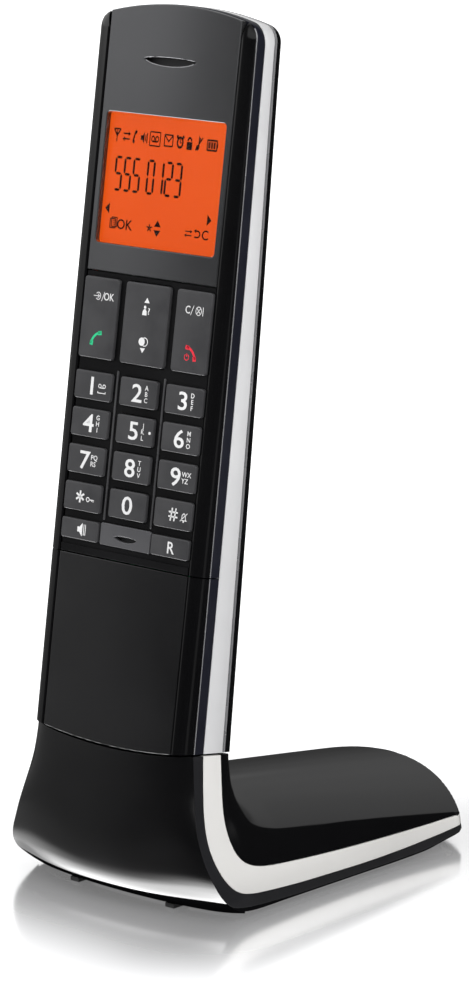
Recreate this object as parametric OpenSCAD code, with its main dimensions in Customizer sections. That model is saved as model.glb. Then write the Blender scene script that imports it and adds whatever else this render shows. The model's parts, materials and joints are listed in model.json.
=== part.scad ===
// Cordless handset standing in an L-shaped charging base.
// Millimetres. +Z up, the front faces -Y, the foot of the base runs back along +Y.
// The handset is drawn in its own leaning frame: x across, y rearwards from the
// face, z up the face. The base is drawn upright. Both share one zero, on the
// face just under the lowest row of number keys.

/* [Handset] */
// Width of the handset across the cheeks
handset_w = 44; // [43.6:0.1:44.4]
// Lean of the handset towards the rear, degrees
lean = 8.5; // [8.3:0.1:8.7]
// Height of the crown of the handset above the zero line
crown_s = 106; // [105:0.5:108]
// Radius of the two top corners
corner_r = 5; // [4:0.5:6]
// Wall of the handset shells at the sides
wall = 1.6; // [1.4:0.1:1.6]
// Width of the inset front panel
panel_w = 36.1; // [35.9:0.1:36.2]

/* [Screen] */
// Width of the screen window
screen_w = 33; // [32:0.5:33]
// Height of the screen window
screen_h = 27; // [26:0.5:27]

/* [Keys] */
// Width of a number key
key_w = 10.4; // [9.8:0.1:10.4]
// Height of a number key
key_h = 5.9; // [5.5:0.1:6]
// Column pitch
pitch_x = 12.8; // [12.7:0.1:12.8]
// Row pitch
pitch_s = 7.76; // [7.7:0.02:7.8]
// How far a key cap stands proud of the face
key_proud = 0.45; // [0.3:0.05:0.6]

/* [Battery] */
// Diameter of one AAA cell
cell_d = 10.5; // [10:0.1:10.5]
// Length of one AAA cell
cell_l = 44.5; // [44:0.1:44.5]

/* [Base] */
// Half width of the base at the foot
foot_hw = 30; // [29:0.5:31]
// Rear end of the foot
foot_rear = 86; // [85:0.2:87]
// Wall of the base shells
bwall = 1.8; // [1.6:0.1:2]
// Gap at the seam between handset and base
seam_gap = 0.35; // [0.3:0.05:0.5]

/* [Hidden] */
hw = handset_w/2;

// Ground and fore-and-aft centre of the whole object, in the drawing frame
ground_z = -79.9;
mid_y = 38.2;
module place() translate([0, -mid_y, -ground_z]) children();
module H() place() rotate([-lean, 0, 0]) children();

// ---- section lines of the handset, depth behind the face at height s
seam_s = -45.4;      // seam to the base at the sides
seam_dip = 1.8;      // how far that seam dips at the middle
mid_s = -8.9;        // seam between upper shell and lower cover
arch_r = 78.2;       // crown of the top edge
function e2(s) = 5.25 - 0.015*s;      // front edge of the silver band
function e3(s) = 10.2 - 0.036*s;      // rear edge of the silver band
rear_k = 0.041;
function dd(s) = 15.0 - rear_k*s;     // rear surface
rear_a = atan(rear_k);
function seam(x) = seam_s - seam_dip*(1 - pow(min(1, abs(x)/hw), 2));

module sideprism(p, w = 90) rotate([90,0,90]) translate([0,0,-w/2]) linear_extrude(w) polygon(p);
module frontprism(p, y0, y1) translate([0,y1,0]) rotate([90,0,0]) linear_extrude(y1-y0) polygon(p);
module box(a, b) translate(a) cube([b[0]-a[0], b[1]-a[1], b[2]-a[2]]);
module ycyl(x, s, r, y0, y1) translate([x,y0,s]) rotate([-90,0,0]) cylinder(r = r, h = y1-y0, $fn = 48);
function rrect(w, h, r, n = 4) = [for (q = [0:3], k = [0:n])
   let (a = q*90 + k*90/n, sx = (q == 0 || q == 3) ? 1 : -1, sz = q < 2 ? 1 : -1)
   [sx*(w/2-r) + r*cos(a), sz*(h/2-r) + r*sin(a)]];
module yblock(x, s, w, h, r, y0, y1) translate([x,y1,s]) rotate([90,0,0]) linear_extrude(y1-y0) polygon(rrect(w,h,r));

// outline of the handset seen from the front, i is how far it is drawn in
function outline(i, sb = undef) =
  let (r = corner_r - i, ca = crown_s - arch_r, cx = hw - corner_r,
       cs = ca + sqrt(pow(arch_r-corner_r,2) - pow(cx,2)), a0 = atan2(cs-ca, cx))
  concat(
   [for (k = [0:6]) [cx + r*cos(a0*k/6), cs + r*sin(a0*k/6)]],
   [for (k = [1:13]) let (a = a0 + (180-2*a0)*k/14) [(arch_r-i)*cos(a), ca + (arch_r-i)*sin(a)]],
   [for (k = [6:-1:0]) [-(cx + r*cos(a0*k/6)), cs + r*sin(a0*k/6)]],
   sb == undef
     ? [for (k = [-8:8]) let (x = (hw-i)*k/8) [x, seam(x)]]
     : [[-(hw-i), sb], [hw-i, sb]]);
// front corners of the section
function section(i, f) = [[hw-i,60],[hw-i,2.6+f],[hw-0.35-i,1.35+f],[hw-1.4-i,0.5+f],[hw-3.6-i,f],
  [-(hw-3.6-i),f],[-(hw-1.4-i),0.5+f],[-(hw-0.35-i),1.35+f],[-(hw-i),2.6+f],[-(hw-i),60]];
// rear corners of the section
function rear2d(i) = let (r = 5 - i) concat([[-(hw-i),-40],[hw-i,-40]],
  [for (k = [0:6]) [hw-5 + r*cos(k*15), 10 + r*sin(k*15)]],
  [for (k = [6:-1:0]) [-(hw-5 + r*cos(k*15)), 10 + r*sin(k*15)]]);
module rear_prism(i) rotate([rear_a,0,0]) translate([0,0,-90]) linear_extrude(220) polygon(rear2d(i));
// the closed body of the handset, drawn in by i at the sides and by f at the face
module hbody(i = 0, f = 0, sb = undef) intersection() {
  frontprism(outline(i, sb), -6, 40);
  translate([0,0,-90]) linear_extrude(220) polygon(section(i, f));
  rear_prism(i);
  sideprism([[-6,-90],[40,-90],[40,99-i],[11.2-i,99-i],[10.4-i,102.4-i],[8.8-i,104.6-i],[6.6-i,106-i],[-6,112]]);
}
module cavity() hbody(wall, 1.95, -60);
g = 0.04; // half of the line between two fixed shells

// ---- handset shells
module front_shell() color([0.06,0.06,0.065]) H() difference() {
  intersection() {
    hbody();
    sideprism([[-6,mid_s+g],[e2(mid_s)-g,mid_s+g],[e2(112)-g,112],[-6,112]]);
  }
  cavity();
  box([-panel_w/2-0.25,-2,-20],[panel_w/2+0.25,1.5,120]);
  box([-17,-2,-20],[17,4,101]);
}
module front_panel() color([0.22,0.22,0.23]) H() difference() {
  intersection() {
    frontprism(outline(0.15, -60), -1, 1.45);
    box([-panel_w/2,0,50.0],[panel_w/2,1.45,110]);
  }
  yblock(0, 69.5, screen_w+0.2, screen_h+0.2, 0.8, -1, 3);
  // ear slot, a crescent
  translate([-0.5,3,0]) rotate([90,0,0]) linear_extrude(4) intersection() {
    translate([0,94.9+15.0]) circle(r = 16.6, $fn = 96);
    translate([0,95.1-30.6]) circle(r = 31.2, $fn = 96);
  }
}
function kx(c) = (c-1)*pitch_x;
function ks(r) = 26.3 - r*pitch_s;
module keypad_frame() color([0.10,0.10,0.105]) H() difference() {
  union() {
    box([-18.0,0.3,-7.4],[18.0,1.45,49.95]);
    box([-18.0,0,mid_s+0.1],[18.0,1.45,-7.1]);
  }
  for (c = [0:2], r = [0:3]) yblock(kx(c), ks(r), key_w+0.3, key_h+0.3, 0.7, -1, 3);
  for (x = [-13.03,0,13.03]) yblock(x, 40.4, (x == 0 ? 12.3 : 9.75)+0.3, 17.15, 0.8, -1, 3);
  for (x = [-12.75,12.75]) yblock(x, -3.8, 10.5+0.3, 4.3+0.3, 0.6, -1, 3);
  yblock(0, -3.75, 14.3+0.2, 4.7+0.2, 0.6, -1, 3);
}
module display_window() color([0.9,0.35,0.1,0.5]) H() yblock(0, 69.5, screen_w, screen_h, 0.7, 0.1, 1.0);
module lcd_module() color([0.85,0.32,0.08]) H() difference() {
  box([-16.95,1.5,54.3],[16.95,4.0,85.2]);
  box([-16.4,1.0,56.2],[16.4,1.75,82.8]);
}
module lower_front_cover() color([0.05,0.05,0.055]) H() {
  difference() {
    intersection() {
      hbody();
      sideprism([[-6,-60],[e2(-60)-g,-60],[e2(mid_s)-g,mid_s-g],[-6,mid_s-g]]);
    }
    cavity();
    box([-panel_w/2-0.25,-2,-80],[panel_w/2+0.25,1.5,0]);
    box([-17,-2,-80],[17,4,-43.5]);
    box([-17,-2,-42],[17,4,-36]);
    box([-17,-2,-16],[17,4,0]);
  }
  for (x = [-14.6,14.6]) difference() {
    ycyl(x, -25, 2.3, 1.9, 10.2);
    ycyl(x, -25, 1.15, 3.6, 11);
  }
}
module lower_panel() color([0.07,0.07,0.075]) H() intersection() {
  frontprism(outline(0.15), -1, 1.45);
  box([-panel_w/2,0,-60],[panel_w/2,1.45,mid_s-0.1]);
}
module handset_band() color([0.82,0.82,0.83]) H() difference() {
  intersection() {
    hbody();
    sideprism([[e2(-60)+g,-60],[e3(-60)-g,-60],[e3(112)-g,112],[e2(112)+g,112]]);
  }
  hbody(1.4, -20, -60);
}
door_x = 16.8; door_s0 = -42; door_s1 = 5.5;
module rear_shell() color([0.03,0.03,0.035]) H() {
  difference() {
    intersection() {
      hbody();
      sideprism([[e3(-60)+g,-60],[40,-60],[40,112],[e3(112)+g,112]]);
    }
    hbody(1.4, -20, -60);
    yblock(0, (door_s0+door_s1)/2, 2*door_x, door_s1-door_s0, 2, 8, 30);
    // ringer slots
    for (k = [-2:2]) yblock(0, 62+k*2.2, 13-abs(k)*2.2, 1.0, 0.45, 5, 30);
  }
  // battery tray walls, cross wall and the screw lugs
  for (m = [0,1]) mirror([m,0,0]) {
    box([11.2,3.4,-43],[12.1,12.9,3.6]);
    difference() {
      box([12.1,10.5,-29],[18.6,11.5,-21]);
      ycyl(14.6, -25, 1.25, 9, 13);
    }
    box([17.5,9.6,-29],[20.4,11.5,-21]);
  }
  difference() {
    box([-20.4,4.4,2.7],[20.4,12.7,3.6]);
    box([-30,0,0],[-12.1,9.9,8]);
    box([12.1,0,0],[30,9.9,8]);
  }
  box([-20.4,11.0,3.6],[20.4,12.8,5.0]);
}
module battery_door() color([0.04,0.04,0.045]) H() difference() {
  intersection() {
    hbody();
    yblock(0, (door_s0+door_s1)/2, 2*door_x-0.4, door_s1-door_s0-0.4, 1.8, 8, 30);
  }
  hbody(1.3, -20, -60);
  // thumb ribs
  for (k = [0:4]) box([-6+k*0.3,14,-1.5+k*1.5],[6-k*0.3,dd(-1.5+k*1.5)-0.9,-1.0+k*1.5]);
}
module mic_plate() color([0.32,0.32,0.34]) H() difference() {
  yblock(0, -3.75, 14.3, 4.7, 0.5, -0.15, 1.2);
  translate([0,2,0]) rotate([90,0,0]) linear_extrude(4) intersection() {
    translate([0,-3.55+4.6]) circle(r = 5.4, $fn = 64);
    translate([0,-3.6-12]) circle(r = 12.4, $fn = 64);
  }
}
module keypad_mat() color([0.35,0.35,0.36]) H() difference() {
  box([-16.9,1.5,-6.8],[16.9,1.95,49.6]);
  ycyl(0, -4.1, 2.3, 0, 4);
}
module handset_pcb() color([0.05,0.35,0.15]) H() difference() {
  box([-16.9,2.0,-7.5],[16.9,2.8,53.6]);
  for (x = [-15.4,15.4]) ycyl(x, 51, 0.9, 1, 4);
}
module rf_shield() color([0.75,0.75,0.77]) H() difference() {
  box([-13,2.8,14],[13,5.2,40]);
  box([-12.6,2.0,14.4],[12.6,4.8,39.6]);
}
module earpiece() color([0.12,0.12,0.12]) H() ycyl(0, 94.2, 6.4, 1.5, 4.4);
module microphone() color([0.6,0.6,0.6]) H() ycyl(0, -4.1, 2.0, 1.25, 2.0);
module ringer() color([0.12,0.12,0.12]) H() { ycyl(0, 62, 8, 7.6, 9.6); ycyl(0, 62, 5, 5.6, 7.6); }
cell_s0 = -43.2; cell_y = 8.15;
module aaa_cells() color([0.3,0.5,0.3]) H() for (x = [-5.6,5.6]) {
  translate([x,cell_y,cell_s0]) cylinder(r = cell_d/2, h = cell_l-0.8, $fn = 64);
  translate([x,cell_y,cell_s0+cell_l-0.8]) cylinder(r = 1.9, h = 0.8, $fn = 48);
}
module battery_contacts() color([0.8,0.8,0.78]) H() for (x = [-5.6,5.6]) {
  box([x-4,4.6,cell_s0-0.7],[x+4,11.8,cell_s0-0.05]);
  box([x-4,4.6,cell_s0+cell_l+0.05],[x+4,11.8,cell_s0+cell_l+0.6]);
}
module charging_tongue() color([0.03,0.03,0.035]) H() {
  intersection() { hbody(wall+0.06, 2.0, -60); box([-30,0,-45.3],[30,30,-44.1]); }
  difference() {
    translate([0,9.1,-58.5]) linear_extrude(13.3) polygon(rrect(29.6,8.6,1.6));
    translate([0,9.1,-57.3]) linear_extrude(12.0) polygon(rrect(27.2,6.2,0.8));
    for (x = [-8,8]) box([x-2.5,7.1,-59],[x+2.5,11.1,-58.1]);
  }
}
module handset_contacts() color([0.8,0.65,0.3]) H() for (x = [-8,8]) box([x-2.45,7.15,-58.8],[x+2.45,11.05,-58.15]);
module handset_screws() color([0.7,0.7,0.72]) H() for (x = [-14.6,14.6]) difference() {
  union() { ycyl(x, -25, 2.1, 11.55, 12.7); ycyl(x, -25, 1.1, 4.2, 11.55); }
  box([x-1.5,12.2,-25.3],[x+1.5,13,-24.7]);
  box([x-0.3,12.2,-26.5],[x+0.3,13,-23.5]);
}

// ---- keys
module keycap(x, s, w, h, r) color([0.25,0.25,0.26]) H() {
  yblock(x, s, w, h, r, -key_proud+0.2, 1.0);
  yblock(x, s, w-0.7, h-0.7, r-0.2, -key_proud, -key_proud+0.2);
}
module numkey(c, r) keycap(kx(c), ks(r), key_w-0.1, key_h, 0.6);
module key_ok_talk() keycap(-13.03, 40.4, 9.7, 16.8, 0.7);
module key_nav() keycap(0, 40.4, 12.25, 16.8, 0.7);
module key_clear_end() keycap(13.03, 40.4, 9.7, 16.8, 0.7);
module key_1() numkey(0,0);
module key_2() numkey(1,0);
module key_3() numkey(2,0);
module key_4() numkey(0,1);
module key_5() numkey(1,1);
module key_6() numkey(2,1);
module key_7() numkey(0,2);
module key_8() numkey(1,2);
module key_9() numkey(2,2);
module key_star() numkey(0,3);
module key_0() numkey(1,3);
module key_hash() numkey(2,3);
module key_speaker() keycap(-12.75, -3.8, 10.4, 4.2, 0.5);
module key_r() keycap(12.75, -3.8, 10.4, 4.2, 0.5);

// ---- base
// half width at height z: slim at the seam, flared at the foot
function bw(z) = hw + 0.1 + (foot_hw-hw-0.1)*pow(max(0, min(1, (-47-z)/26)), 1.5);
// side view lines, (y,z) from the seam down and back
crease = [[-3.5,-40],[-4,-45],[-4.65,-52.3],[-5.4,-56.2],[-6.05,-60.1],[-6.3,-63.2],[-6.2,-66.4],[-5.8,-69.6],[-4.95,-72.15],[-4.3,-73.4],[-3.2,-74.9],[-1.8,-76.2],[-0.2,-77.3],[1.7,-78.3],[3.4,-79.1],[5.5,-80.3]];
band_f = [[-0.6,-40],[-1,-45],[-1.4,-49],[-2,-53],[-2.8,-56.8],[-3.4,-60],[-3.7,-63],[-3.6,-65.4],[-3.1,-67.9],[-2.4,-70.1],[-1.2,-72.1],[0.8,-73.8],[3.9,-75],[7.6,-75.55],[14,-76],[22,-76.4],[30,-76.6],[45,-76.8],[53,-76.65],[61,-76.35],[74,-75.6],[96,-74.9]];
band_r = [[4.6,-40],[4.3,-46],[3.9,-51],[3.25,-55.2],[2.8,-58],[2.55,-60.7],[2.6,-63.1],[2.95,-65.2],[3.65,-67.1],[5,-68.7],[7.2,-69.9],[10,-70.6],[15,-71.1],[22,-71.6],[30,-72.05],[45,-72.65],[61,-73.05],[72,-73.15],[96,-73.2]];
// a smooth line through the points
function cr(p,i,t) = let (a=p[max(0,i-1)],b=p[i],c=p[i+1],d=p[min(len(p)-1,i+2)])
  0.5*((2*b)+(c-a)*t+(2*a-5*b+4*c-d)*t*t+(3*b-a-3*c+d)*t*t*t);
function smooth_line(p,n=3) = concat([for (i=[0:len(p)-2], k=[0:n-1]) cr(p,i,k/n)],[p[len(p)-1]]);
function rev(p) = [for (i=[len(p)-1:-1:0]) p[i]];
function shift(p,d) = [for (q=p) [q[0]+d,q[1]+d]];
LC = smooth_line(crease); LF = smooth_line(band_f); LR = smooth_line(band_r);

// plan of the foot: the rear end is one bow, leaning in a little towards the top
module bow(i) { box([-60,-60,-100],[60,50,-20]); translate([0,foot_rear-43,-96]) cylinder(r1 = 46-i, r2 = 34-i, h = 80, $fn = 256); }
// crown across the top of the foot
module crown(i) {
  translate([0,14.5,-57.8]) rotate([-7.125,0,0]) translate([0,-20,-56]) rotate([-90,0,0]) cylinder(r = 56-i, h = 120, $fn = 256);
  box([-60,-60,-100],[60,9.9-i,0]);
}
// side outline: upright, fillet, top of the foot, rounded rear
top_line = [[11,-38],[10,-47],[9.6,-51.5],[9.8,-54],[10.9,-56],[13,-57.2],[17,-57.9],[30,-58.8],[60,-62.4],[92,-66.2]];
function wpts(i) = concat([for (z=[-80:2:-38]) [bw(z)-i, z]],[for (z=[-38:-2:-80]) [-(bw(z)-i), z]]);
function wcut(i) = concat([[bw(-80)-i,-95]],wpts(i),[[-(bw(-80)-i),-95]]);
TL = smooth_line(top_line,2);
module bsolid() intersection() {
  frontprism(wpts(0), -30, 100);
  sideprism(concat(TL, [[92,-75.8],[74,-77.3],[64,-78.5],[60,-79],[-20,-79],[-20,-38]]));
  bow(0);
  crown(0);
}
module bcavity(i) intersection() {
  frontprism(wcut(i), -30, 100);
  sideprism(concat([[11-i,-30]],[for (p=TL) p[1] > -55 ? [p[0]-i,p[1]] : p[0] < 15 ? [p[0]-i*0.8,p[1]-i*0.8] : [p[0], p[1]-i]],[[92,-95],[-20,-95],[-20,-30]]));
  bow(i);
  crown(i);
}
// everything above the seam between handset and base
module above_seam() rotate([-lean,0,0])
  frontprism(concat([for (k=[-8:8]) let (x=hw*k/8) [x, seam(x)-seam_gap]],[[60,seam_s-seam_gap],[60,40],[-60,40],[-60,seam_s-seam_gap]]), -60, 60);
// room for the cradle well
module upright_room() rotate([-lean,0,0]) box([-16.4,3.2,-62],[16.4,15.0,-40]);

function fy(z) = lookup(z, [[-79,-2.8],[-78,-4.6],[-77,-6.5],[-76.2,-7.9],[-75.5,-8.85],[-74.8,-9.2],[-73.5,-9.45],[-71,-9.6],[-67,-9.35],[-60,-8.6],[-55,-8.0],[-50,-7.45],[-46,-6.95],[-40,-6.3]]);
function cy_(z) = lookup(z, [for (p = rev(LC)) [p[1],p[0]]]);
function fc_z0(q,t) = -79 + t*(34.1 - 1.9*(1-q*q));
// bow of the skirt: flat with round ends at the seam, one long bow at the foot, flatter again under the lip
function g_top(q) = 0.2*q*q + 0.8*pow(abs(q),7);
function g_mid(q) = 1.15*pow(abs(q),2.3)/(1+0.15*pow(abs(q),8));
function g_low(q) = 0.6*q*q + 0.4*pow(abs(q),10);
function gq(q,z) = z > -75.5 ? let (k = max(0,min(1,(-54-z)/20))) g_top(q)*(1-k)+g_mid(q)*k : let (k = min(1,(-75.5-z)/3.5)) g_mid(q)*(1-k)+g_low(q)*k;
function fc_z(x,y,t) = let (zt = ((seam(x)-seam_gap) - y*sin(lean))/cos(lean)) -79 + (zt+79)*t;
fc_t = [0,0.03,0.06,0.083,0.104,0.126,0.16,0.21,0.28,0.37,0.47,0.59,0.72,0.86,1];
fc_n = 14;
function fc_ring(t) = concat(
  [for (k=[-fc_n:fc_n]) let (q=sin(k*90/fc_n), z0=fc_z0(q,t), w=bw(z0), x=w*q,
     y=fy(z0)+(cy_(z0)-0.06-fy(z0))*gq(q,z0)) [x,y,fc_z(min(hw,abs(x)),y,t)]],
  [for (k=[fc_n:-1:-fc_n]) let (q=sin(k*90/fc_n), z0=fc_z0(q,t), w=bw(z0)-bwall, x=w*q,
     y=fy(z0)+bwall+(cy_(z0)-0.06-fy(z0)-bwall)*gq(q,z0)) [x,y,fc_z(min(hw,abs(x)),y-bwall*(1-abs(q)),t)]]);
module base_front_cover() color([0.03,0.03,0.035]) place() {
  rings = [for (t=fc_t) fc_ring(t)];
  m = len(rings[0]); n = len(rings); h = 2*fc_n+1;
  polyhedron(points = [for (r=rings) each r],
    faces = concat(
      [for (j=[0:n-2], k=[0:m-1]) let (a=j*m+k,b=j*m+(k+1)%m) [a,a+m,b]],
      [for (j=[0:n-2], k=[0:m-1]) let (a=j*m+k,b=j*m+(k+1)%m) [b,a+m,b+m]],
      [for (k=[0:h-2]) [k,k+1,m-1-k]], [for (k=[0:h-2]) [k+1,m-2-k,m-1-k]],
      [for (k=[0:h-2]) let (o=(n-1)*m) [o+k,o+m-1-k,o+k+1]],
      [for (k=[0:h-2]) let (o=(n-1)*m) [o+k+1,o+m-1-k,o+m-2-k]]));
}
module region_chassis() sideprism(concat([for (p=LC) [p[0]+0.06,p[1]]], [[96,-82]], rev([for (p=LF) [p[0]-g,p[1]-g]])));
module region_band() sideprism(concat([for (p=LF) [p[0]+g,p[1]+g]], rev([for (p=LR) [p[0]-g,p[1]-g]])));
module region_top() sideprism(concat([for (p=LR) [p[0]+g,p[1]+g]], [[96,-30],[5,-30]]));
module base_chassis() color([0.18,0.18,0.19]) place() difference() {
  intersection() { bsolid(); region_chassis(); }
  bcavity(bwall);
  above_seam();
}
module base_band() color([0.82,0.81,0.79]) place() difference() {
  intersection() { bsolid(); region_band(); }
  bcavity(1.5);
  above_seam();
}
boss = [[-21,22],[21,22],[-22,60],[22,60]];
module base_top_cover() color([0.03,0.03,0.035]) place() {
  difference() {
    intersection() { bsolid(); region_top();
      union() { rotate([-lean,0,0]) rear_prism(0); box([-60,-40,-95],[60,100,-56.5]); } }
    bcavity(bwall);
    above_seam();
    yblock(0, -70.4, 9.0, 4.0, 1.6, 70, 90);
  }
  for (b = boss) difference() {
    translate([b[0],b[1],-76.2]) cylinder(r = 2.6, h = b[1] > 40 ? 7.4 : 12.4, $fn = 48);
    translate([b[0],b[1],-77]) cylinder(r = 1.35, h = 6.6, $fn = 48);
  }
}
module base_bottom_plate() color([0.1,0.1,0.105]) place() {
  difference() {
    intersection() {
      sideprism([[-4.2,-79],[60,-79],[64,-78.5],[74,-77.3],[84,-76.45],[84,-75.15],[74,-76],[64,-77],[60,-77.4],[-4.2,-77.4]]);
      box([-26.6,-20,-90],[26.6,100,-60]);
      bow(bwall+1.6);
      // the front edge follows the bowed skirt
      translate([0,89.8,-90]) cylinder(r = 90, h = 40, $fn = 256);
    }
    box([-12.2,53.1,-90],[12.2,72,-69]);
    for (b = boss) { translate([b[0],b[1],-80]) cylinder(r = 1.5, h = 4, $fn = 48); translate([b[0],b[1],-79.1]) cylinder(r = 2.9, h = 0.9, $fn = 48); }
  }
  // walls and roof of the plug bay
  difference() {
    box([-13.2,53.1,-77.4],[13.2,73,-69.9]);
    box([-12.2,53,-78],[12.2,72,-70.8]);
  }
}
module cradle_well() color([0.05,0.05,0.055]) H() {
  difference() {
    union() {
      box([-16.3,3.3,-61.7],[16.3,14.9,-47.7]);
      box([-19.2,3.3,-48.7],[19.2,14.2,-47.7]);
    }
    translate([0,9.1,-60.5]) linear_extrude(20) polygon(rrect(30.6,9.6,2));
    for (x = [-8,8]) translate([x,9.1,-63]) cylinder(r = 1.25, h = 4, $fn = 48);
  }
}
module charge_pin(x) color([0.8,0.65,0.3]) H() translate([x,9.1,0]) {
  translate([0,0,-64.4]) cylinder(r = 1.2, h = 5.15, $fn = 48);
  translate([0,0,-59.3]) sphere(r = 0.42, $fn = 32);
  translate([0,0,-63.0]) cylinder(r = 1.9, h = 1.0, $fn = 48);
}
module charge_pin_left() charge_pin(-8);
module charge_pin_right() charge_pin(8);
module base_pcb() color([0.05,0.35,0.15]) place() box([-14.5,25.5,-68.9],[14.5,58,-67.7]);
module jack(x, c) color(c) place() difference() {
  box([x-5.7,40,-77.35],[x+5.7,53,-68.95]);
  box([x-4.9,42,-76.6],[x+4.9,54,-69.8]);
  box([x-2,42,-76.9],[x+2,54,-76]);
}
module line_jack() jack(-6.2, [0.85,0.84,0.8]);
module power_jack() jack(6.2, [0.1,0.1,0.1]);
module page_button() color([0.25,0.25,0.26]) place() yblock(0, -70.4, 8.6, 3.6, 1.4, 80, 84.5);
module base_feet() color([0.08,0.08,0.08]) place() {
  for (x = [-13.7,13.7]) box([x-1.2,-2.3,-79.9],[x+1.2,2.2,-79]);
  for (x = [-20.5,20.5]) translate([x,52,-79.9]) cylinder(r = 4, h = 0.9, $fn = 48);
}
module base_screws() color([0.7,0.7,0.72]) place() for (b = boss) difference() {
  union() { translate([b[0],b[1],-79]) cylinder(r = 2.6, h = 0.8, $fn = 48); translate([b[0],b[1],-78.2]) cylinder(r = 1.3, h = 6.8, $fn = 48); }
  translate([b[0]-1.6,b[1]-0.3,-79.2]) cube([3.2,0.6,0.7]);
  translate([b[0]-0.3,b[1]-1.6,-79.2]) cube([0.6,3.2,0.7]);
}
module base_antennas() color([0.75,0.6,0.3]) place() for (m = [0,1]) mirror([m,0,0]) {
  box([11.5,56.5,-67.7],[12.3,57.3,-67.1]);
  box([3,56.5,-67.1],[12.3,57.3,-66.6]);
}

front_shell();
front_panel();
keypad_frame();
display_window();
lcd_module();
lower_front_cover();
lower_panel();
handset_band();
rear_shell();
battery_door();
mic_plate();
keypad_mat();
handset_pcb();
rf_shield();
earpiece();
microphone();
ringer();
aaa_cells();
battery_contacts();
charging_tongue();
handset_contacts();
handset_screws();
key_ok_talk();
key_nav();
key_clear_end();
key_1();
key_2();
key_3();
key_4();
key_5();
key_6();
key_7();
key_8();
key_9();
key_star();
key_0();
key_hash();
key_speaker();
key_r();
base_front_cover();
base_chassis();
base_band();
base_top_cover();
base_bottom_plate();
cradle_well();
charge_pin_left();
charge_pin_right();
base_pcb();
line_jack();
power_jack();
page_button();
base_feet();
base_screws();
base_antennas();
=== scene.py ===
import bpy, bmesh, math, json
from mathutils import Vector, Matrix


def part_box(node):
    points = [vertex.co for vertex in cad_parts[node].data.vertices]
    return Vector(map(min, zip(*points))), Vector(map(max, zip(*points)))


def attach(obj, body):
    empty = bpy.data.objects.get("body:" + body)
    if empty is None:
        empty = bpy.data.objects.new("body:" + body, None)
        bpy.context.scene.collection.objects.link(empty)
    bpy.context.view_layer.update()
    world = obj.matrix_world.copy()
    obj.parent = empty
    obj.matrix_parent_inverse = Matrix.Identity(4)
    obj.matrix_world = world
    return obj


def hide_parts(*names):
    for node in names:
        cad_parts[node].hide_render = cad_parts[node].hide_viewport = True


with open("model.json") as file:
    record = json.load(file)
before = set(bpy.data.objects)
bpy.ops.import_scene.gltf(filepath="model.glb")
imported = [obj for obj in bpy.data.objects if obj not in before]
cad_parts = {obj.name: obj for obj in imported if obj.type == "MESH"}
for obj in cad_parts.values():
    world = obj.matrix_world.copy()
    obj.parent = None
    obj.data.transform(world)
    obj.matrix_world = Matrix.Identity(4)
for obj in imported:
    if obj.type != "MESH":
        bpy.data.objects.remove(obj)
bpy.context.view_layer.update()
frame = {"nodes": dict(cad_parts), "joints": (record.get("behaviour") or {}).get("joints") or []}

scn = bpy.context.scene
col = scn.collection

# ------------------------------------------------------------------ frame
lift = [j for j in frame["joints"] if j["name"] == "handset_lift"][0]
SL, CL = lift["axis"][1], lift["axis"][2]          # lean of the handset
lo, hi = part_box("base_feet")
GZ = 79.9                                           # height of the drawing zero over the desk, mm
MY = 38.2


def H(x, y, s):
    """handset frame (across, depth behind the face, up the face), mm, to the row frame, m"""
    return (x / 1000, (s * SL + y * CL - MY) / 1000, (s * CL - y * SL + GZ) / 1000)


def B(x, y, z):
    x = max(-29.98, min(29.98, x))
    return (x / 1000, (y - MY) / 1000, (z + GZ) / 1000)


# ------------------------------------------------------------------ camera
cd = bpy.data.cameras.new("camera")
cd.lens = 149.25
cd.sensor_width = 36
cd.sensor_fit = "AUTO"
cd.clip_end = 60
cam = bpy.data.objects.new("camera", cd)
col.objects.link(cam)
r, u, b = Vector((0.7431, 0.6691, 0)), Vector((-0.1406, 0.1561, 0.9777)), Vector((0.6542, -0.7265, 0.2101))
m = Matrix.Identity(4)
for i, v in enumerate((r, u, b)):
    v.normalize()
    for k in range(3):
        m[k][i] = v[k]
m.translation = Vector((0.57434, -0.64297, 0.26328))
cam.matrix_world = m
scn.camera = cam
scn.view_settings.view_transform = "Standard"


# ------------------------------------------------------------------ materials
def new_mat(name):
    mt = bpy.data.materials.new(name)
    mt.use_nodes = True
    nt = mt.node_tree
    return mt, nt, nt.nodes["Principled BSDF"]


def noise(nt, scale, detail=3.0, rough=0.5, stretch=None):
    tc = nt.nodes.new("ShaderNodeTexCoord")
    n = nt.nodes.new("ShaderNodeTexNoise")
    n.inputs["Scale"].default_value = scale
    n.inputs["Detail"].default_value = detail
    n.inputs["Roughness"].default_value = rough
    if stretch:
        mp = nt.nodes.new("ShaderNodeMapping")
        mp.inputs["Scale"].default_value = stretch
        nt.links.new(tc.outputs["Object"], mp.inputs["Vector"])
        nt.links.new(mp.outputs["Vector"], n.inputs["Vector"])
    else:
        nt.links.new(tc.outputs["Object"], n.inputs["Vector"])
    return n


def ramp(nt, src, a, bb, lo_=0.35, hi_=0.65):
    mr = nt.nodes.new("ShaderNodeMapRange")
    mr.inputs["From Min"].default_value = lo_
    mr.inputs["From Max"].default_value = hi_
    mr.inputs["To Min"].default_value = a
    mr.inputs["To Max"].default_value = bb
    nt.links.new(src, mr.inputs["Value"])
    return mr.outputs["Result"]


def mixcol(nt, src, ca, cb, lo_=0.35, hi_=0.65):
    cr = nt.nodes.new("ShaderNodeValToRGB")
    cr.color_ramp.elements[0].position = lo_
    cr.color_ramp.elements[0].color = (*ca, 1)
    cr.color_ramp.elements[1].position = hi_
    cr.color_ramp.elements[1].color = (*cb, 1)
    nt.links.new(src, cr.inputs["Fac"])
    return cr.outputs["Color"]


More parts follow.
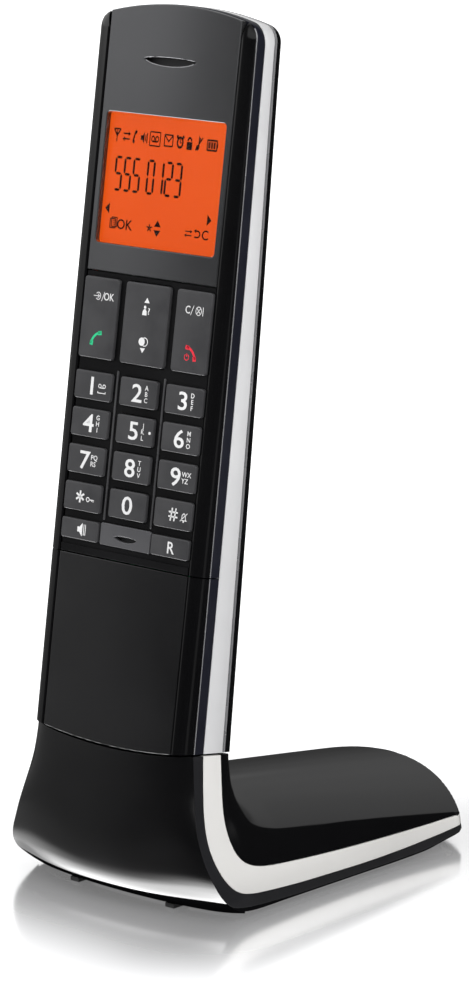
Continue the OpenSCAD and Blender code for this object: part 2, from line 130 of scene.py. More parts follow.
def plastic(name, base, base2=None, rough=(0.1, 0.16), spec=0.5, metallic=0.0, coat=0.0, coat_rough=0.05,
            grain=900.0, bump=0.02, wear=60.0, dist=0.00002):
    mt, nt, p = new_mat(name)
    big = noise(nt, wear, 4.0, 0.55)
    nt.links.new(mixcol(nt, big.outputs["Fac"], base, base2 or tuple(c * 1.25 for c in base)), p.inputs["Base Color"])
    nt.links.new(ramp(nt, big.outputs["Fac"], rough[0], rough[1]), p.inputs["Roughness"])
    fine = noise(nt, grain, 2.0)
    bp = nt.nodes.new("ShaderNodeBump")
    bp.inputs["Strength"].default_value = bump
    bp.inputs["Distance"].default_value = dist
    nt.links.new(fine.outputs["Fac"], bp.inputs["Height"])
    nt.links.new(bp.outputs["Normal"], p.inputs["Normal"])
    p.inputs["Metallic"].default_value = metallic
    p.inputs["Specular IOR Level"].default_value = spec
    p.inputs["Coat Weight"].default_value = coat
    p.inputs["Coat Roughness"].default_value = coat_rough
    return mt


M = {}
M["gloss"] = plastic("gloss_black_plastic", (0.0022, 0.0022, 0.0025), (0.0030, 0.0030, 0.0033), (0.08, 0.12), 0.42, grain=500, bump=0.012, wear=35)
M["skirt"] = plastic("gloss_black_skirt", (0.0024, 0.0024, 0.0027), (0.0034, 0.0034, 0.0037), (0.14, 0.18), 0.5, grain=500, bump=0.012, wear=35)
M["rear"] = plastic("gloss_black_rear", (0.0022, 0.0022, 0.0025), (0.0030, 0.0030, 0.0033), (0.09, 0.13), 0.20, grain=500, bump=0.015, wear=30)
M["strip"] = plastic("blue_black_strip", (0.007, 0.0075, 0.012), (0.010, 0.0105, 0.0155), (0.32, 0.40), 0.12, grain=2600, bump=0.05, wear=80)
# light grey metallic for the thin edge beads, the rear trim and the ear slot lip: its light tone is painted highlight,
# standing in for the light caught along those edges
M["edge"] = plastic("edge_highlight_grey", (0.28, 0.28, 0.29), (0.34, 0.34, 0.35), (0.22, 0.3), 0.5, metallic=0.6, grain=2000, bump=0.03)
M["panel"] = plastic("front_panel_grey", (0.088, 0.089, 0.093), (0.098, 0.099, 0.103), (0.20, 0.24), 0.35, metallic=0.80, coat=0.12, coat_rough=0.14, grain=5200, bump=0.10, wear=45, dist=0.00001)
M["lower"] = plastic("lower_panel_black", (0.0060, 0.0060, 0.0064), (0.0080, 0.0080, 0.0085), (0.20, 0.26), 0.42, grain=3200, bump=0.06, wear=40)
M["keypad"] = plastic("keypad_surround", (0.0035, 0.0035, 0.0038), (0.0055, 0.0055, 0.006), (0.36, 0.46), 0.08, grain=3500, bump=0.10)
M["key"] = plastic("key_charcoal", (0.032, 0.032, 0.034), (0.041, 0.041, 0.043), (0.30, 0.40), 0.35, grain=4200, bump=0.14, wear=160)
M["mic"] = plastic("mic_plate_grey", (0.075, 0.075, 0.080), (0.09, 0.09, 0.095), (0.28, 0.36), 0.4, metallic=0.3, grain=4200, bump=0.1)
M["rib"] = plastic("rib_grey", (0.06, 0.06, 0.063), (0.08, 0.08, 0.083), (0.25, 0.35), 0.4, metallic=0.5, grain=4200, bump=0.05)
M["silver"] = plastic("satin_silver", (0.54, 0.54, 0.545), (0.59, 0.59, 0.595), (0.34, 0.42), 0.5, metallic=0.25, grain=6500, bump=0.12, wear=25, dist=0.00001)
M["silverb"] = plastic("satin_silver_base", (0.67, 0.66, 0.64), (0.72, 0.71, 0.69), (0.34, 0.42), 0.5, metallic=0.25, grain=6500, bump=0.12, wear=25, dist=0.00001)
M["chassis"] = plastic("charcoal_satin", (0.010, 0.010, 0.0112), (0.014, 0.014, 0.0155), (0.38, 0.46), 0.2, grain=3000, bump=0.16, wear=70)
M["inner"] = plastic("moulded_black", (0.012, 0.012, 0.013), (0.018, 0.018, 0.019), (0.42, 0.55), 0.35, grain=2200, bump=0.22)
M["rubber"] = plastic("rubber_black", (0.018, 0.018, 0.018), (0.028, 0.028, 0.028), (0.6, 0.75), 0.3, grain=1800, bump=0.3)
M["mat"] = plastic("rubber_grey", (0.10, 0.10, 0.105), (0.13, 0.13, 0.135), (0.6, 0.72), 0.3, grain=1800, bump=0.2)
M["steel"] = plastic("plated_steel", (0.55, 0.55, 0.57), (0.66, 0.66, 0.68), (0.22, 0.36), 0.5, metallic=1.0, grain=2400, bump=0.08)
M["brass"] = plastic("gold_plate", (0.75, 0.55, 0.22), (0.82, 0.64, 0.30), (0.2, 0.32), 0.5, metallic=1.0, grain=2400, bump=0.05)
M["ivory"] = plastic("jack_ivory", (0.62, 0.60, 0.52), (0.70, 0.68, 0.60), (0.35, 0.45), 0.4, grain=1800, bump=0.1)
M["print"] = plastic("white_print", (0.58, 0.58, 0.58), (0.66, 0.66, 0.66), (0.45, 0.55), 0.3, grain=3000, bump=0.05)
M["print2"] = plastic("grey_print", (0.30, 0.31, 0.33), (0.36, 0.37, 0.39), (0.40, 0.5), 0.3, metallic=0.3, grain=3000, bump=0.05)
M["green"] = plastic("green_print", (0.02, 0.45, 0.20), (0.03, 0.55, 0.26), (0.4, 0.5), 0.3, bump=0.03)
M["red"] = plastic("red_print", (0.55, 0.015, 0.03), (0.65, 0.02, 0.04), (0.4, 0.5), 0.3, bump=0.03)
M["ink"] = plastic("lcd_ink", (0.010, 0.002, 0.002), (0.013, 0.003, 0.002), (0.5, 0.6), 0.05, bump=0.01)
M["lip"] = plastic("satin_black_lip", (0.0030, 0.0030, 0.0033), (0.0045, 0.0045, 0.005), (0.80, 0.90), 0.0, grain=2200, bump=0.15)
M["cell"] = plastic("cell_sleeve", (0.02, 0.16, 0.07), (0.03, 0.20, 0.09), (0.18, 0.26), 0.5, bump=0.04)


def crown(mt, c):
    """very shallow bow across the width, as relief under the fine grain"""
    nt = mt.node_tree
    tc = nt.nodes.new("ShaderNodeTexCoord")
    sx = nt.nodes.new("ShaderNodeSeparateXYZ")
    nt.links.new(tc.outputs["Object"], sx.inputs[0])
    sq = nt.nodes.new("ShaderNodeMath")
    sq.operation = "MULTIPLY"
    nt.links.new(sx.outputs[0], sq.inputs[0])
    nt.links.new(sx.outputs[0], sq.inputs[1])
    sc = nt.nodes.new("ShaderNodeMath")
    sc.operation = "MULTIPLY"
    sc.inputs[1].default_value = -c
    nt.links.new(sq.outputs[0], sc.inputs[0])
    big = nt.nodes.new("ShaderNodeBump")
    big.inputs["Strength"].default_value = 1.0
    big.inputs["Distance"].default_value = 1.0
    nt.links.new(sc.outputs[0], big.inputs["Height"])
    for n in list(nt.nodes):
        if n.bl_idname == "ShaderNodeBump" and n != big and not n.inputs["Normal"].is_linked:
            nt.links.new(big.outputs["Normal"], n.inputs["Normal"])


crown(M["panel"], 2.0)
crown(M["lower"], 1.6)


def pcb_mat():
    mt, nt, p = new_mat("solder_mask_green")
    tc = nt.nodes.new("ShaderNodeTexCoord")
    v = nt.nodes.new("ShaderNodeTexVoronoi")
    v.distance = "MANHATTAN"
    v.feature = "DISTANCE_TO_EDGE" if False else "F1"
    v.inputs["Scale"].default_value = 420
    nt.links.new(tc.outputs["Object"], v.inputs["Vector"])
    nt.links.new(mixcol(nt, v.outputs["Distance"], (0.010, 0.10, 0.035), (0.004, 0.045, 0.016), 0.2, 0.5), p.inputs["Base Color"])
    bp = nt.nodes.new("ShaderNodeBump")
    bp.inputs["Strength"].default_value = 0.2
    bp.inputs["Distance"].default_value = 0.00003
    nt.links.new(v.outputs["Distance"], bp.inputs["Height"])
    nt.links.new(bp.outputs["Normal"], p.inputs["Normal"])
    p.inputs["Roughness"].default_value = 0.3
    return mt


M["pcb"] = pcb_mat()


def lcd_mat():
    mt, nt, p = new_mat("lcd_amber")
    n = noise(nt, 45, 2.0)
    c = mixcol(nt, n.outputs["Fac"], (0.71, 0.078, 0.003), (0.77, 0.090, 0.004), 0.3, 0.7)
    nt.links.new(c, p.inputs["Emission Color"])
    p.inputs["Emission Strength"].default_value = 0.92
    p.inputs["Base Color"].default_value = (0.10, 0.012, 0.002, 1)
    p.inputs["Roughness"].default_value = 0.5
    p.inputs["Specular IOR Level"].default_value = 0.1
    g = noise(nt, 7000, 1.0)
    bp = nt.nodes.new("ShaderNodeBump")
    bp.inputs["Strength"].default_value = 0.05
    bp.inputs["Distance"].default_value = 0.00001
    nt.links.new(g.outputs["Fac"], bp.inputs["Height"])
    nt.links.new(bp.outputs["Normal"], p.inputs["Normal"])
    return mt


M["lcd"] = lcd_mat()


def window_mat():
    mt, nt, p = new_mat("window_clear")
    p.inputs["Base Color"].default_value = (0.99, 0.97, 0.95, 1)
    p.inputs["Transmission Weight"].default_value = 1.0
    p.inputs["IOR"].default_value = 1.09
    n = noise(nt, 60, 2.0)
    nt.links.new(ramp(nt, n.outputs["Fac"], 0.0, 0.03), p.inputs["Roughness"])
    return mt


M["window"] = window_mat()


# ------------------------------------------------------------------ mesh helpers
def finish_mesh(ob, angle=38, smooth=True):
    me = ob.data
    for pl in me.polygons:
        pl.use_smooth = smooth
    if smooth:
        me.set_sharp_from_angle(angle=math.radians(angle))


def add(name, verts, faces, mat, body, slot=None, rep=(), angle=38, recalc=True, weld=1e-8, bevel=None, segs=2):
    if body == "base":
        verts = [(max(-0.02998, min(0.02998, v[0])), v[1], v[2]) for v in verts]
    me = bpy.data.meshes.new(name)
    me.from_pydata([tuple(v) for v in verts], [], faces)
    bm = bmesh.new()
    bm.from_mesh(me)
    if weld:
        bmesh.ops.remove_doubles(bm, verts=bm.verts, dist=weld)
    bmesh.ops.dissolve_degenerate(bm, edges=bm.edges, dist=1e-9)
    if recalc:
        bmesh.ops.recalc_face_normals(bm, faces=bm.faces)
    bm.to_mesh(me)
    bm.free()
    ob = bpy.data.objects.new(name, me)
    col.objects.link(ob)
    me.materials.append(mat)
    finish_mesh(ob, angle)
    if bevel:
        md = ob.modifiers.new("bevel", "BEVEL")
        md.width = bevel / 1000
        md.segments = segs
        md.limit_method = "ANGLE"
        md.angle_limit = math.radians(40)
        md.harden_normals = False
        wn_ = ob.modifiers.new("even_normals", "WEIGHTED_NORMAL")
        wn_.keep_sharp = True
        wn_.weight = 60
    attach(ob, body)
    if rep:
        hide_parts(*rep)
    return ob


def sweep(stations, closed_path=False):
    """stations: equal-length closed loops of points. Returns verts, faces of the capped tube."""
    n, k = len(stations), len(stations[0])
    verts = [p for st in stations for p in st]
    faces = []
    for i in range(n - 1):
        for j in range(k):
            a, b2 = i * k + j, i * k + (j + 1) % k
            faces.append((a, b2, b2 + k, a + k))
    faces.append(tuple(range(k - 1, -1, -1)))
    faces.append(tuple(range((n - 1) * k, n * k)))
    return verts, faces


def shell(grid, t, out):
    """grid[i][j] of row-frame points (m); closed shell t mm thick, drawn inwards; out(point) gives a rough outward direction."""
    n, k = len(grid), len(grid[0])
    G = [[Vector(p) for p in row] for row in grid]
    inner = []
    for i in range(n):
        row = []
        for j in range(k):
            du = G[min(i + 1, n - 1)][j] - G[max(i - 1, 0)][j]
            dv = G[i][min(j + 1, k - 1)] - G[i][max(j - 1, 0)]
            nn = du.cross(dv)
            if nn.length < 1e-14:
                nn = Vector(out(G[i][j]))
            nn.normalize()
            if nn.dot(Vector(out(G[i][j]))) < 0:
                nn = -nn
            row.append(G[i][j] - nn * (t / 1000))
        inner.append(row)
    verts = [p for row in G for p in row] + [p for row in inner for p in row]
    o = n * k
    faces = []
    for i in range(n - 1):
        for j in range(k - 1):
            a = i * k + j
            faces.append((a, a + 1, a + k + 1, a + k))
            faces.append((o + a, o + a + k, o + a + k + 1, o + a + 1))
    for j in range(k - 1):
        faces.append((j, o + j, o + j + 1, j + 1))
        a = (n - 1) * k + j
        faces.append((a, a + 1, o + a + 1, o + a))
    for i in range(n - 1):
        a = i * k
        faces.append((a, a + k, o + a + k, o + a))
        a = i * k + k - 1
        faces.append((a, o + a, o + a + k, a + k))
    return verts, faces


def spline(pts, n):
    """Catmull-Rom through points (tuples), n steps a span"""
    out = []
    L = len(pts)
    for i in range(L - 1):
        a, b2, c, d = pts[max(0, i - 1)], pts[i], pts[i + 1], pts[min(L - 1, i + 2)]
        for q in range(n):
            t = q / n
            out.append(tuple(0.5 * ((2 * b2[k]) + (c[k] - a[k]) * t + (2 * a[k] - 5 * b2[k] + 4 * c[k] - d[k]) * t * t
                                    + (3 * b2[k] - a[k] - 3 * c[k] + d[k]) * t ** 3) for k in range(len(b2))))
    out.append(tuple(pts[-1]))
    return out


def table_fn(pts):
    """smooth function through (x, y) pairs sorted by x, monotone cubic"""
    X = [p[0] for p in pts]
    Y = [p[1] for p in pts]
    n = len(X)
    d = [(Y[i + 1] - Y[i]) / (X[i + 1] - X[i]) for i in range(n - 1)]
    mm = [d[0]] + [0 if d[i - 1] * d[i] <= 0 else 2 * d[i - 1] * d[i] / (d[i - 1] + d[i]) for i in range(1, n - 1)] + [d[-1]]

    def f(x):
        if x <= X[0]:
            return Y[0] + mm[0] * (x - X[0])
        if x >= X[-1]:
            return Y[-1] + mm[-1] * (x - X[-1])
        i = max(k for k in range(n - 1) if X[k] <= x)
        h = X[i + 1] - X[i]
        t = (x - X[i]) / h
        return (Y[i] * (1 + 2 * t) * (1 - t) ** 2 + h * mm[i] * t * (1 - t) ** 2 + Y[i + 1] * t * t * (3 - 2 * t)
                + h * mm[i + 1] * t * t * (t - 1))
    return f


# ------------------------------------------------------------------ handset shape
HW, RC, RA, TOP = 22.0, 5.0, 78.2, 106.0
CA = TOP - RA
CX = HW - RC
CS = CA + math.sqrt((RA - RC) ** 2 - CX ** 2)
A0 = math.atan2(CS - CA, CX)
e1 = lambda s: 2.35 - 0.0135 * s
e2 = lambda s: 5.25 - 0.015 * s
e3 = lambda s: 10.2 - 0.036 * s
dd = lambda s: 15.0 - 0.041 * s
seam = lambda x: -45.4 - 1.8 * (1 - min(1, abs(x) / HW) ** 2)
MID = -8.9


def warp(x, s):
    """lower ends follow the bowed seam to the base"""
    return s if s > -38 else s + (-38 - s) / 7.4 * (seam(x) + 45.4)


def tap(x, s):
    """the sides draw in a little towards the top"""
    k = min(1, max(0, (s - 35) / 65))
    k = k * k * (3 - 2 * k)
    return x if abs(x) <= 18.2 else math.copysign(18.2 + (abs(x) - 18.2) * (1 - 0.11 * k), x)


def half_path(srows, nc=14, na=22, rc=RC, ins=0.0):
    """right half of the outline from the bottom up to the crown: (x, s, nx, ns)"""
    hw, ra = HW - ins, RA - ins
    cx = hw - rc
    cs = CA + math.sqrt((ra - rc) ** 2 - cx ** 2)
    a0 = math.atan2(cs - CA, cx)
    p = [(hw, s, 1.0, 0.0) for s in srows]
    for k in range(0, nc + 1):
        a = a0 * k / nc
        p.append((cx + rc * math.cos(a), cs + rc * math.sin(a), math.cos(a), math.sin(a)))
    for k in range(1, na + 1):
        a = a0 + (math.pi / 2 - a0) * k / na
        p.append((ra * math.cos(a), CA + ra * math.sin(a), math.cos(a), math.sin(a)))
    return p


def full_path(srows, **kw):
    h = half_path(srows, **kw)
    return h + [(-x, s, -nx, ns) for (x, s, nx, ns) in h[-2::-1]]


def rows(a, b2, step=4.0):
    n = max(2, int(round(abs(b2 - a) / step)))
    return [a + (b2 - a) * k / n for k in range(n)]


def U_piece(name, srows, loop, mat, slot, body="handset", rep=(), rc_of=None, **kw):
    base = full_path(srows)
    cache = {}
    st = []
    for i, (x, s, nx, ns) in enumerate(base):
        row = []
        for j, (d, y) in enumerate(loop(x, s)):
            rc = round(rc_of(y, s), 2) if rc_of else RC
            if rc not in cache:
                cache[rc] = full_path(srows, rc=rc)
            X, S, NX, NS = cache[rc][i]
            row.append(H(tap(X + NX * d, S), y, warp(X + NX * d, S + NS * d)))
        st.append(row)
    v, f = sweep(st)
    return add(name, v, f, mat, body, slot, rep, **kw)


def rc_depth(y, s):
    """corner radius against depth: tight at the face, 5 at the band, tighter again at the rear"""
    a, b2, c = e1(s), e2(s), e3(s)
    if y < a:
        return 3.6
    if y < b2:
        return 3.6 + 1.4 * (y - a) / (b2 - a)
    return 5.0 - 1.3 * min(1, (y - b2) / (c - b2))


# silver band
def band_loop(x, s):
    a, b2 = e2(s) + 0.06, e3(s) - 0.06
    return [(-1.3, a), (-0.16, a), (-0.05, a + 0.03), (0.0, a + 0.14), (0.02, (a + b2) / 2), (0.0, b2 - 0.14), (-0.05, b2 - 0.03), (-0.16, b2), (-1.3, b2)]


U_piece("handset_silver_band", rows(-45.3, CS), band_loop, M["silver"], "silver_band", rep=("handset_band",), rc_of=rc_depth)
# thin light grey strip behind the silver band: painted highlight of the rear shell's rounded edge
U_piece("handset_rear_highlight_trim", rows(-45.3, CS), lambda x, s: [(-0.9, e3(s) + 0.22), (-0.1, e3(s) + 0.22), (0.03, e3(s) + 0.30), (0.03, e3(s) + 0.62), (-0.1, e3(s) + 0.70), (-0.9, e3(s) + 0.70)], M["edge"], "silver_band", rc_of=rc_depth)


# dark side strip of the upper front shell, and its two cheeks
def strip_y(x, s):
    k = min(1, max(0, (abs(x) - 17.0) / 2.5))
    return 1.52 + (e1(s) + 0.22 - 1.52) * k


def strip_loop(x, s):
    a, b2 = strip_y(x, s), e2(s) - 0.06
    return [(-1.3, a + 0.02), (-0.25, a), (-0.07, a + 0.03), (-0.0, a + 0.15), (0.0, b2 - 0.12), (-0.05, b2 - 0.02), (-0.16, b2), (-1.3, b2)]


U_piece("front_shell_side_strip", rows(MID + 0.12, CS), strip_loop, M["strip"], "gloss_black", rep=("front_shell",), rc_of=rc_depth)

PW = 18.05  # half width of the inset panels
GX = 18.36  # where the cheek starts


def cheek(name, srows, side, mat, top, slot, rep=()):
    st = []
    path = [(HW, s, 0.0) for s in srows]
    if top:
        rcf, ins = 3.6, 0.06
        cxf = HW - ins - rcf
        csf = CA + math.sqrt((RA - ins - rcf) ** 2 - cxf ** 2)
        amax = min(math.acos((GX - cxf) / rcf) - 0.02 if GX > cxf else 1.5, math.atan2(csf - CA, cxf) - 0.01)
        path += [(None, None, amax * k / 16) for k in range(0, 17)]
    full = HW - GX
    for (x, s, a) in path:
        if x is not None:
            px, ps, nx, ns, dmax = HW, s, 1.0, 0.0, full
        else:
            nx, ns = math.cos(a), math.sin(a)
            px, ps = cxf + rcf * nx, csf + rcf * ns
            dmax = max(0.03, rcf - (GX - cxf) / max(nx, 0.05))
        ye = e1(ps) + 0.02
        lp = [(dmax, 1.6), (dmax, 0.22), (dmax - min(0.04, dmax * 0.2), 0.09), (dmax - min(0.12, dmax * 0.4), 0.02)]
        N = 16
        for k in range(1, N + 1):
            t = math.sin(math.pi / 2 * k / N)
            d = (dmax - min(0.12, dmax * 0.4)) * (1 - t)
            q = max(0.0, 1 - d / full)
            y = 0.02 + (ye - 0.02) * (1 - (1 - q ** 2.6) ** 0.62)
            lp.append((d + 0.02, y))
        lp += [(0.12, ye + 0.12), (min(0.9, dmax * 0.6), ye + 0.12), (min(1.3, dmax * 0.8), 1.62 if ye > 1.5 else ye + 0.12)]
        st.append([H(side * tap(px - nx * d, ps), y, warp(px - nx * d, ps - ns * d)) for (d, y) in lp])
    v, f = sweep(st)
    return add(name, v, f, mat, "handset", slot, rep, angle=50)


# thin bead along the edge step of the front cover: the bead is real geometry, its light grey colour is painted
# highlight
def edge_highlight_line(name, srows, side, top, mat):
    st = []
    path = [(HW, s, 1.0, 0.0) for s in srows]
    if top:
        cxf = HW - 3.6
        csf = CA + math.sqrt((RA - 3.6) ** 2 - cxf ** 2)
        path += [(cxf + 3.6 * math.cos(a), csf + 3.6 * math.sin(a), math.cos(a), math.sin(a)) for a in [0.75 * k / 12 for k in range(0, 13)]]
    for (x, s, nx, ns) in path:
        y = e1(s) + 0.12
        st.append([H(side * tap(x + nx * d, s), yy, warp(x, s + ns * d)) for (d, yy) in
                   [(-0.5, y + 0.14), (-0.12, y + 0.13), (0.03, y + 0.10), (0.06, y), (0.02, y - 0.12), (-0.10, y - 0.18), (-0.5, y - 0.1)]])
    v, f = sweep(st)
    return add(name, v, f, mat, "handset", "silver_band", angle=60)


for sd, nm in ((1, "right"), (-1, "left")):
    cheek("front_shell_cheek_" + nm, rows(MID + 0.12, CS), sd, M["gloss"], True, "gloss_black", rep=("front_shell",))
    cheek("lower_cover_cheek_" + nm, rows(-45.25, MID - 0.12) + [MID - 0.12], sd, M["gloss"], False, "gloss_black", rep=("lower_front_cover",))
    edge_highlight_line("front_shell_edge_highlight_" + nm, rows(MID + 0.12, CS), sd, True, M["edge"])
    edge_highlight_line("lower_cover_edge_highlight_" + nm, rows(-45.25, MID - 0.12) + [MID - 0.12], sd, False, M["edge"])
    st = []
    for s in rows(-45.3, MID - 0.12) + [MID - 0.12]:
        st.append([H(sd * (HW + d), y, warp(HW + d, s)) for (d, y) in strip_loop(HW, s)])
    v, f = sweep(st)
    add("lower_cover_side_strip_" + nm, v, f, M["strip"], "handset", "gloss_black", ("lower_front_cover",))


# ---- flat plates cut from curves with rounded edges
def plate_mesh(outer, holes, y0, y1, bev=0.12, res=2):
    cu = bpy.data.curves.new("tmp", "CURVE")
    cu.dimensions = "2D"
    cu.fill_mode = "BOTH"
    for ring in [outer] + list(holes):
        sp = cu.splines.new("POLY")
        sp.points.add(len(ring) - 1)
        for i, (x, s) in enumerate(ring):
            sp.points[i].co = (x, s, 0, 1)
        sp.use_cyclic_u = True
    th = (y1 - y0) / 2
    cu.extrude = th - bev
    cu.bevel_depth = bev
    cu.bevel_resolution = res
    cu.offset = -bev
    ob = bpy.data.objects.new("tmp", cu)
    col.objects.link(ob)
    dg = bpy.context.evaluated_depsgraph_get()
    me = bpy.data.meshes.new_from_object(ob.evaluated_get(dg))
    verts = [(v.co.x, (y0 + y1) / 2 - v.co.z, v.co.y) for v in me.vertices]
    faces = [tuple(p.vertices) for p in me.polygons]
    bpy.data.objects.remove(ob)
    bpy.data.meshes.remove(me)
    return verts, faces


def plate(name, outer, holes, y0, y1, mat, body, slot, rep=(), bev=0.12, tf=H, angle=30):
    v, f = plate_mesh(outer, holes, y0, y1, bev)
    ob = add(name, [tf(*p) for p in v], f, mat, body, slot, rep, angle=angle, weld=2e-7)
    # keep the flat faces flat: their rim edges are shaded as sharp
    o_ = Vector(tf(0, y0, 0))
    n_ = (Vector(tf(1, y0, 0)) - o_).cross(Vector(tf(0, y0, 1)) - o_).normalized()
    me = ob.data
    flat = [abs(pl.normal.dot(n_)) > 0.9995 for pl in me.polygons]
    seen = {}
    for pl in me.polygons:
        for ek in pl.edge_keys:
            seen.setdefault(ek, []).append(flat[pl.index])
    for e in me.edges:
        q = seen.get(e.key, [])
        if len(q) == 2 and q[0] != q[1]:
            e.use_edge_sharp = True
    return ob


def rrect(x, s, w, h, rad, n=6):
    out = []
    for q in range(4):
        sx = 1 if q in (0, 3) else -1
        sz = 1 if q < 2 else -1
        for k in range(n + 1):
            a = math.radians(q * 90 + 90 * k / n)
            out.append((x + sx * (w / 2 - rad) + rad * math.cos(a), s + sz * (h / 2 - rad) + rad * math.sin(a)))
    return out


def lens(x, s, w, up, dn, n=20):
    """two arcs over the same chord of width w: bulge up and down from height s"""
    pts = [(x + w / 2 * math.cos(math.pi * k / n) * 1.0, s + up * math.sin(math.pi * k / n) ** 1.25) for k in range(n + 1)]
    pts += [(x - w / 2 * math.cos(math.pi * k / n), s - dn * math.sin(math.pi * k / n) ** 1.25) for k in range(1, n)]
    return pts


def arch_s(x, inset=0.0):
    return CA + math.sqrt((RA - inset) ** 2 - x * x)


N_ = 40
top_edge = [(PW - 2 * PW * k / N_, arch_s(PW - 2 * PW * k / N_, 0.12)) for k in range(N_ + 1)]
panel_out = [(-PW, 50.1), (PW, 50.1)] + top_edge
scr = rrect(0, 69.5, 33.1, 27.1, 0.8)
ear = lens(-0.5, 94.55, 14.2, 0.45, 1.25)
plate("front_panel_face", panel_out, [scr, ear], 0.0, 1.45, M["panel"], "handset", "panel_grey", ("front_panel",), bev=0.22)
# dark bed of the ear slot, and the path of the painted highlight along its lower lip
plate("ear_slot_bed", lens(-0.5, 94.55, 14.8, 0.8, 1.6), [], 1.46, 1.56, M["inner"], "handset", "inner_black", bev=0.02)

ear_lip_highlight_path = [(-0.5 - 6.9 * math.cos(math.pi * k / 24), 94.55 - 0.08 - 1.25 * math.sin(math.pi * k / 24) ** 1.25) for k in range(2, 23)]

low_out = [(-PW, MID - 0.16)] + [(-PW + 2 * PW * k / N_, seam(-PW + 2 * PW * k / N_) + 0.15) for k in range(N_ + 1)] + [(PW, MID - 0.16)]
plate("lower_panel_face", low_out, [], 0.0, 1.45, M["lower"], "handset", "lower_panel", ("lower_panel",), bev=0.12)

# ---- keypad surround with its ribs
PX, PS = 12.8, 7.76
kx = lambda c: (c - 1) * PX
ks = lambda q: 26.3 - q * PS
holes = [rrect(kx(c), ks(q), 10.45, 6.15, 0.7) for c in range(3) for q in range(4)]
rk = {"key_ok_talk": (-13.03, 9.7), "key_nav": (0.0, 12.25), "key_clear_end": (13.03, 9.7)}
holes += [rrect(x, 40.4, w + 0.25, 17.1, 0.8) for (x, w) in rk.values()]
holes += [rrect(x, -3.8, 10.7, 4.5, 0.6) for x in (-12.75, 12.75)] + [rrect(0, -3.75, 14.4, 4.85, 0.6)]
plate("keypad_surround", [(-18.0, -7.3), (18.0, -7.3), (18.0, 49.9), (-18.0, 49.9)], holes, 0.3, 1.45, M["keypad"], "handset", "keypad_dark", ("keypad_frame",), bev=0.1)
plate("keypad_lower_strip", [(-18.0, MID + 0.12), (18.0, MID + 0.12), (18.0, -7.2), (-18.0, -7.2)], [], 0.02, 1.45, M["keypad"], "handset", "keypad_dark", bev=0.12)
for i, x in enumerate((-6.6, 6.6)):
    plate("keypad_rib_%d" % i, rrect(x, 14.6, 0.5, 31.0, 0.2), [], 0.05, 0.5, M["rib"], "handset", "mic_grey", bev=0.1)

# ---- screen
plate("lcd_back", rrect(0, 69.5, 33.6, 27.6, 0.5), [], 1.46, 3.9, M["lcd"], "handset", "lcd", ("lcd_module",), bev=0.03)
plate("screen_window", rrect(0, 69.5, 32.95, 26.95, 0.75), [], 0.05, 0.95, M["window"], "handset", "window", ("display_window",), bev=0.10)

# ---- key caps
def keycap(name, x, s, w, h, rad, body, slot="key_grey"):
    v, f = plate_mesh(rrect(x, s, w, h, rad), [], -0.45, 1.0, 0.20, 3)
    return add("cap_" + name, [H(*p) for p in v], f, M["key"], body, slot, (name,), angle=50, weld=2e-7)


names = ["key_1", "key_2", "key_3", "key_4", "key_5", "key_6", "key_7", "key_8", "key_9", "key_star", "key_0", "key_hash"]
kpos = {n: (kx(i % 3), ks(i // 3)) for i, n in enumerate(names)}
for n, (x, s) in kpos.items():
    keycap(n, x, s, 10.3, 5.9, 0.6, n)
for n, (x, w) in rk.items():
    keycap(n, x, 40.4, w, 16.8, 0.7, n)
for n, x in (("key_speaker", -12.75), ("key_r", 12.75)):
    keycap(n, x, -3.8, 10.4, 4.2, 0.5, n)
plate("mic_plate_face", rrect(0, -3.75, 14.2, 4.6, 0.5), [lens(0, -4.0, 6.2, 0.35, 0.75)], -0.12, 1.2, M["mic"], "handset", "mic_grey", ("mic_plate",), bev=0.14)
plate("mic_slot_bed", rrect(0, -4.1, 8, 2.4, 0.5), [], 1.2, 1.3, M["inner"], "handset", "inner_black", bev=0.02)


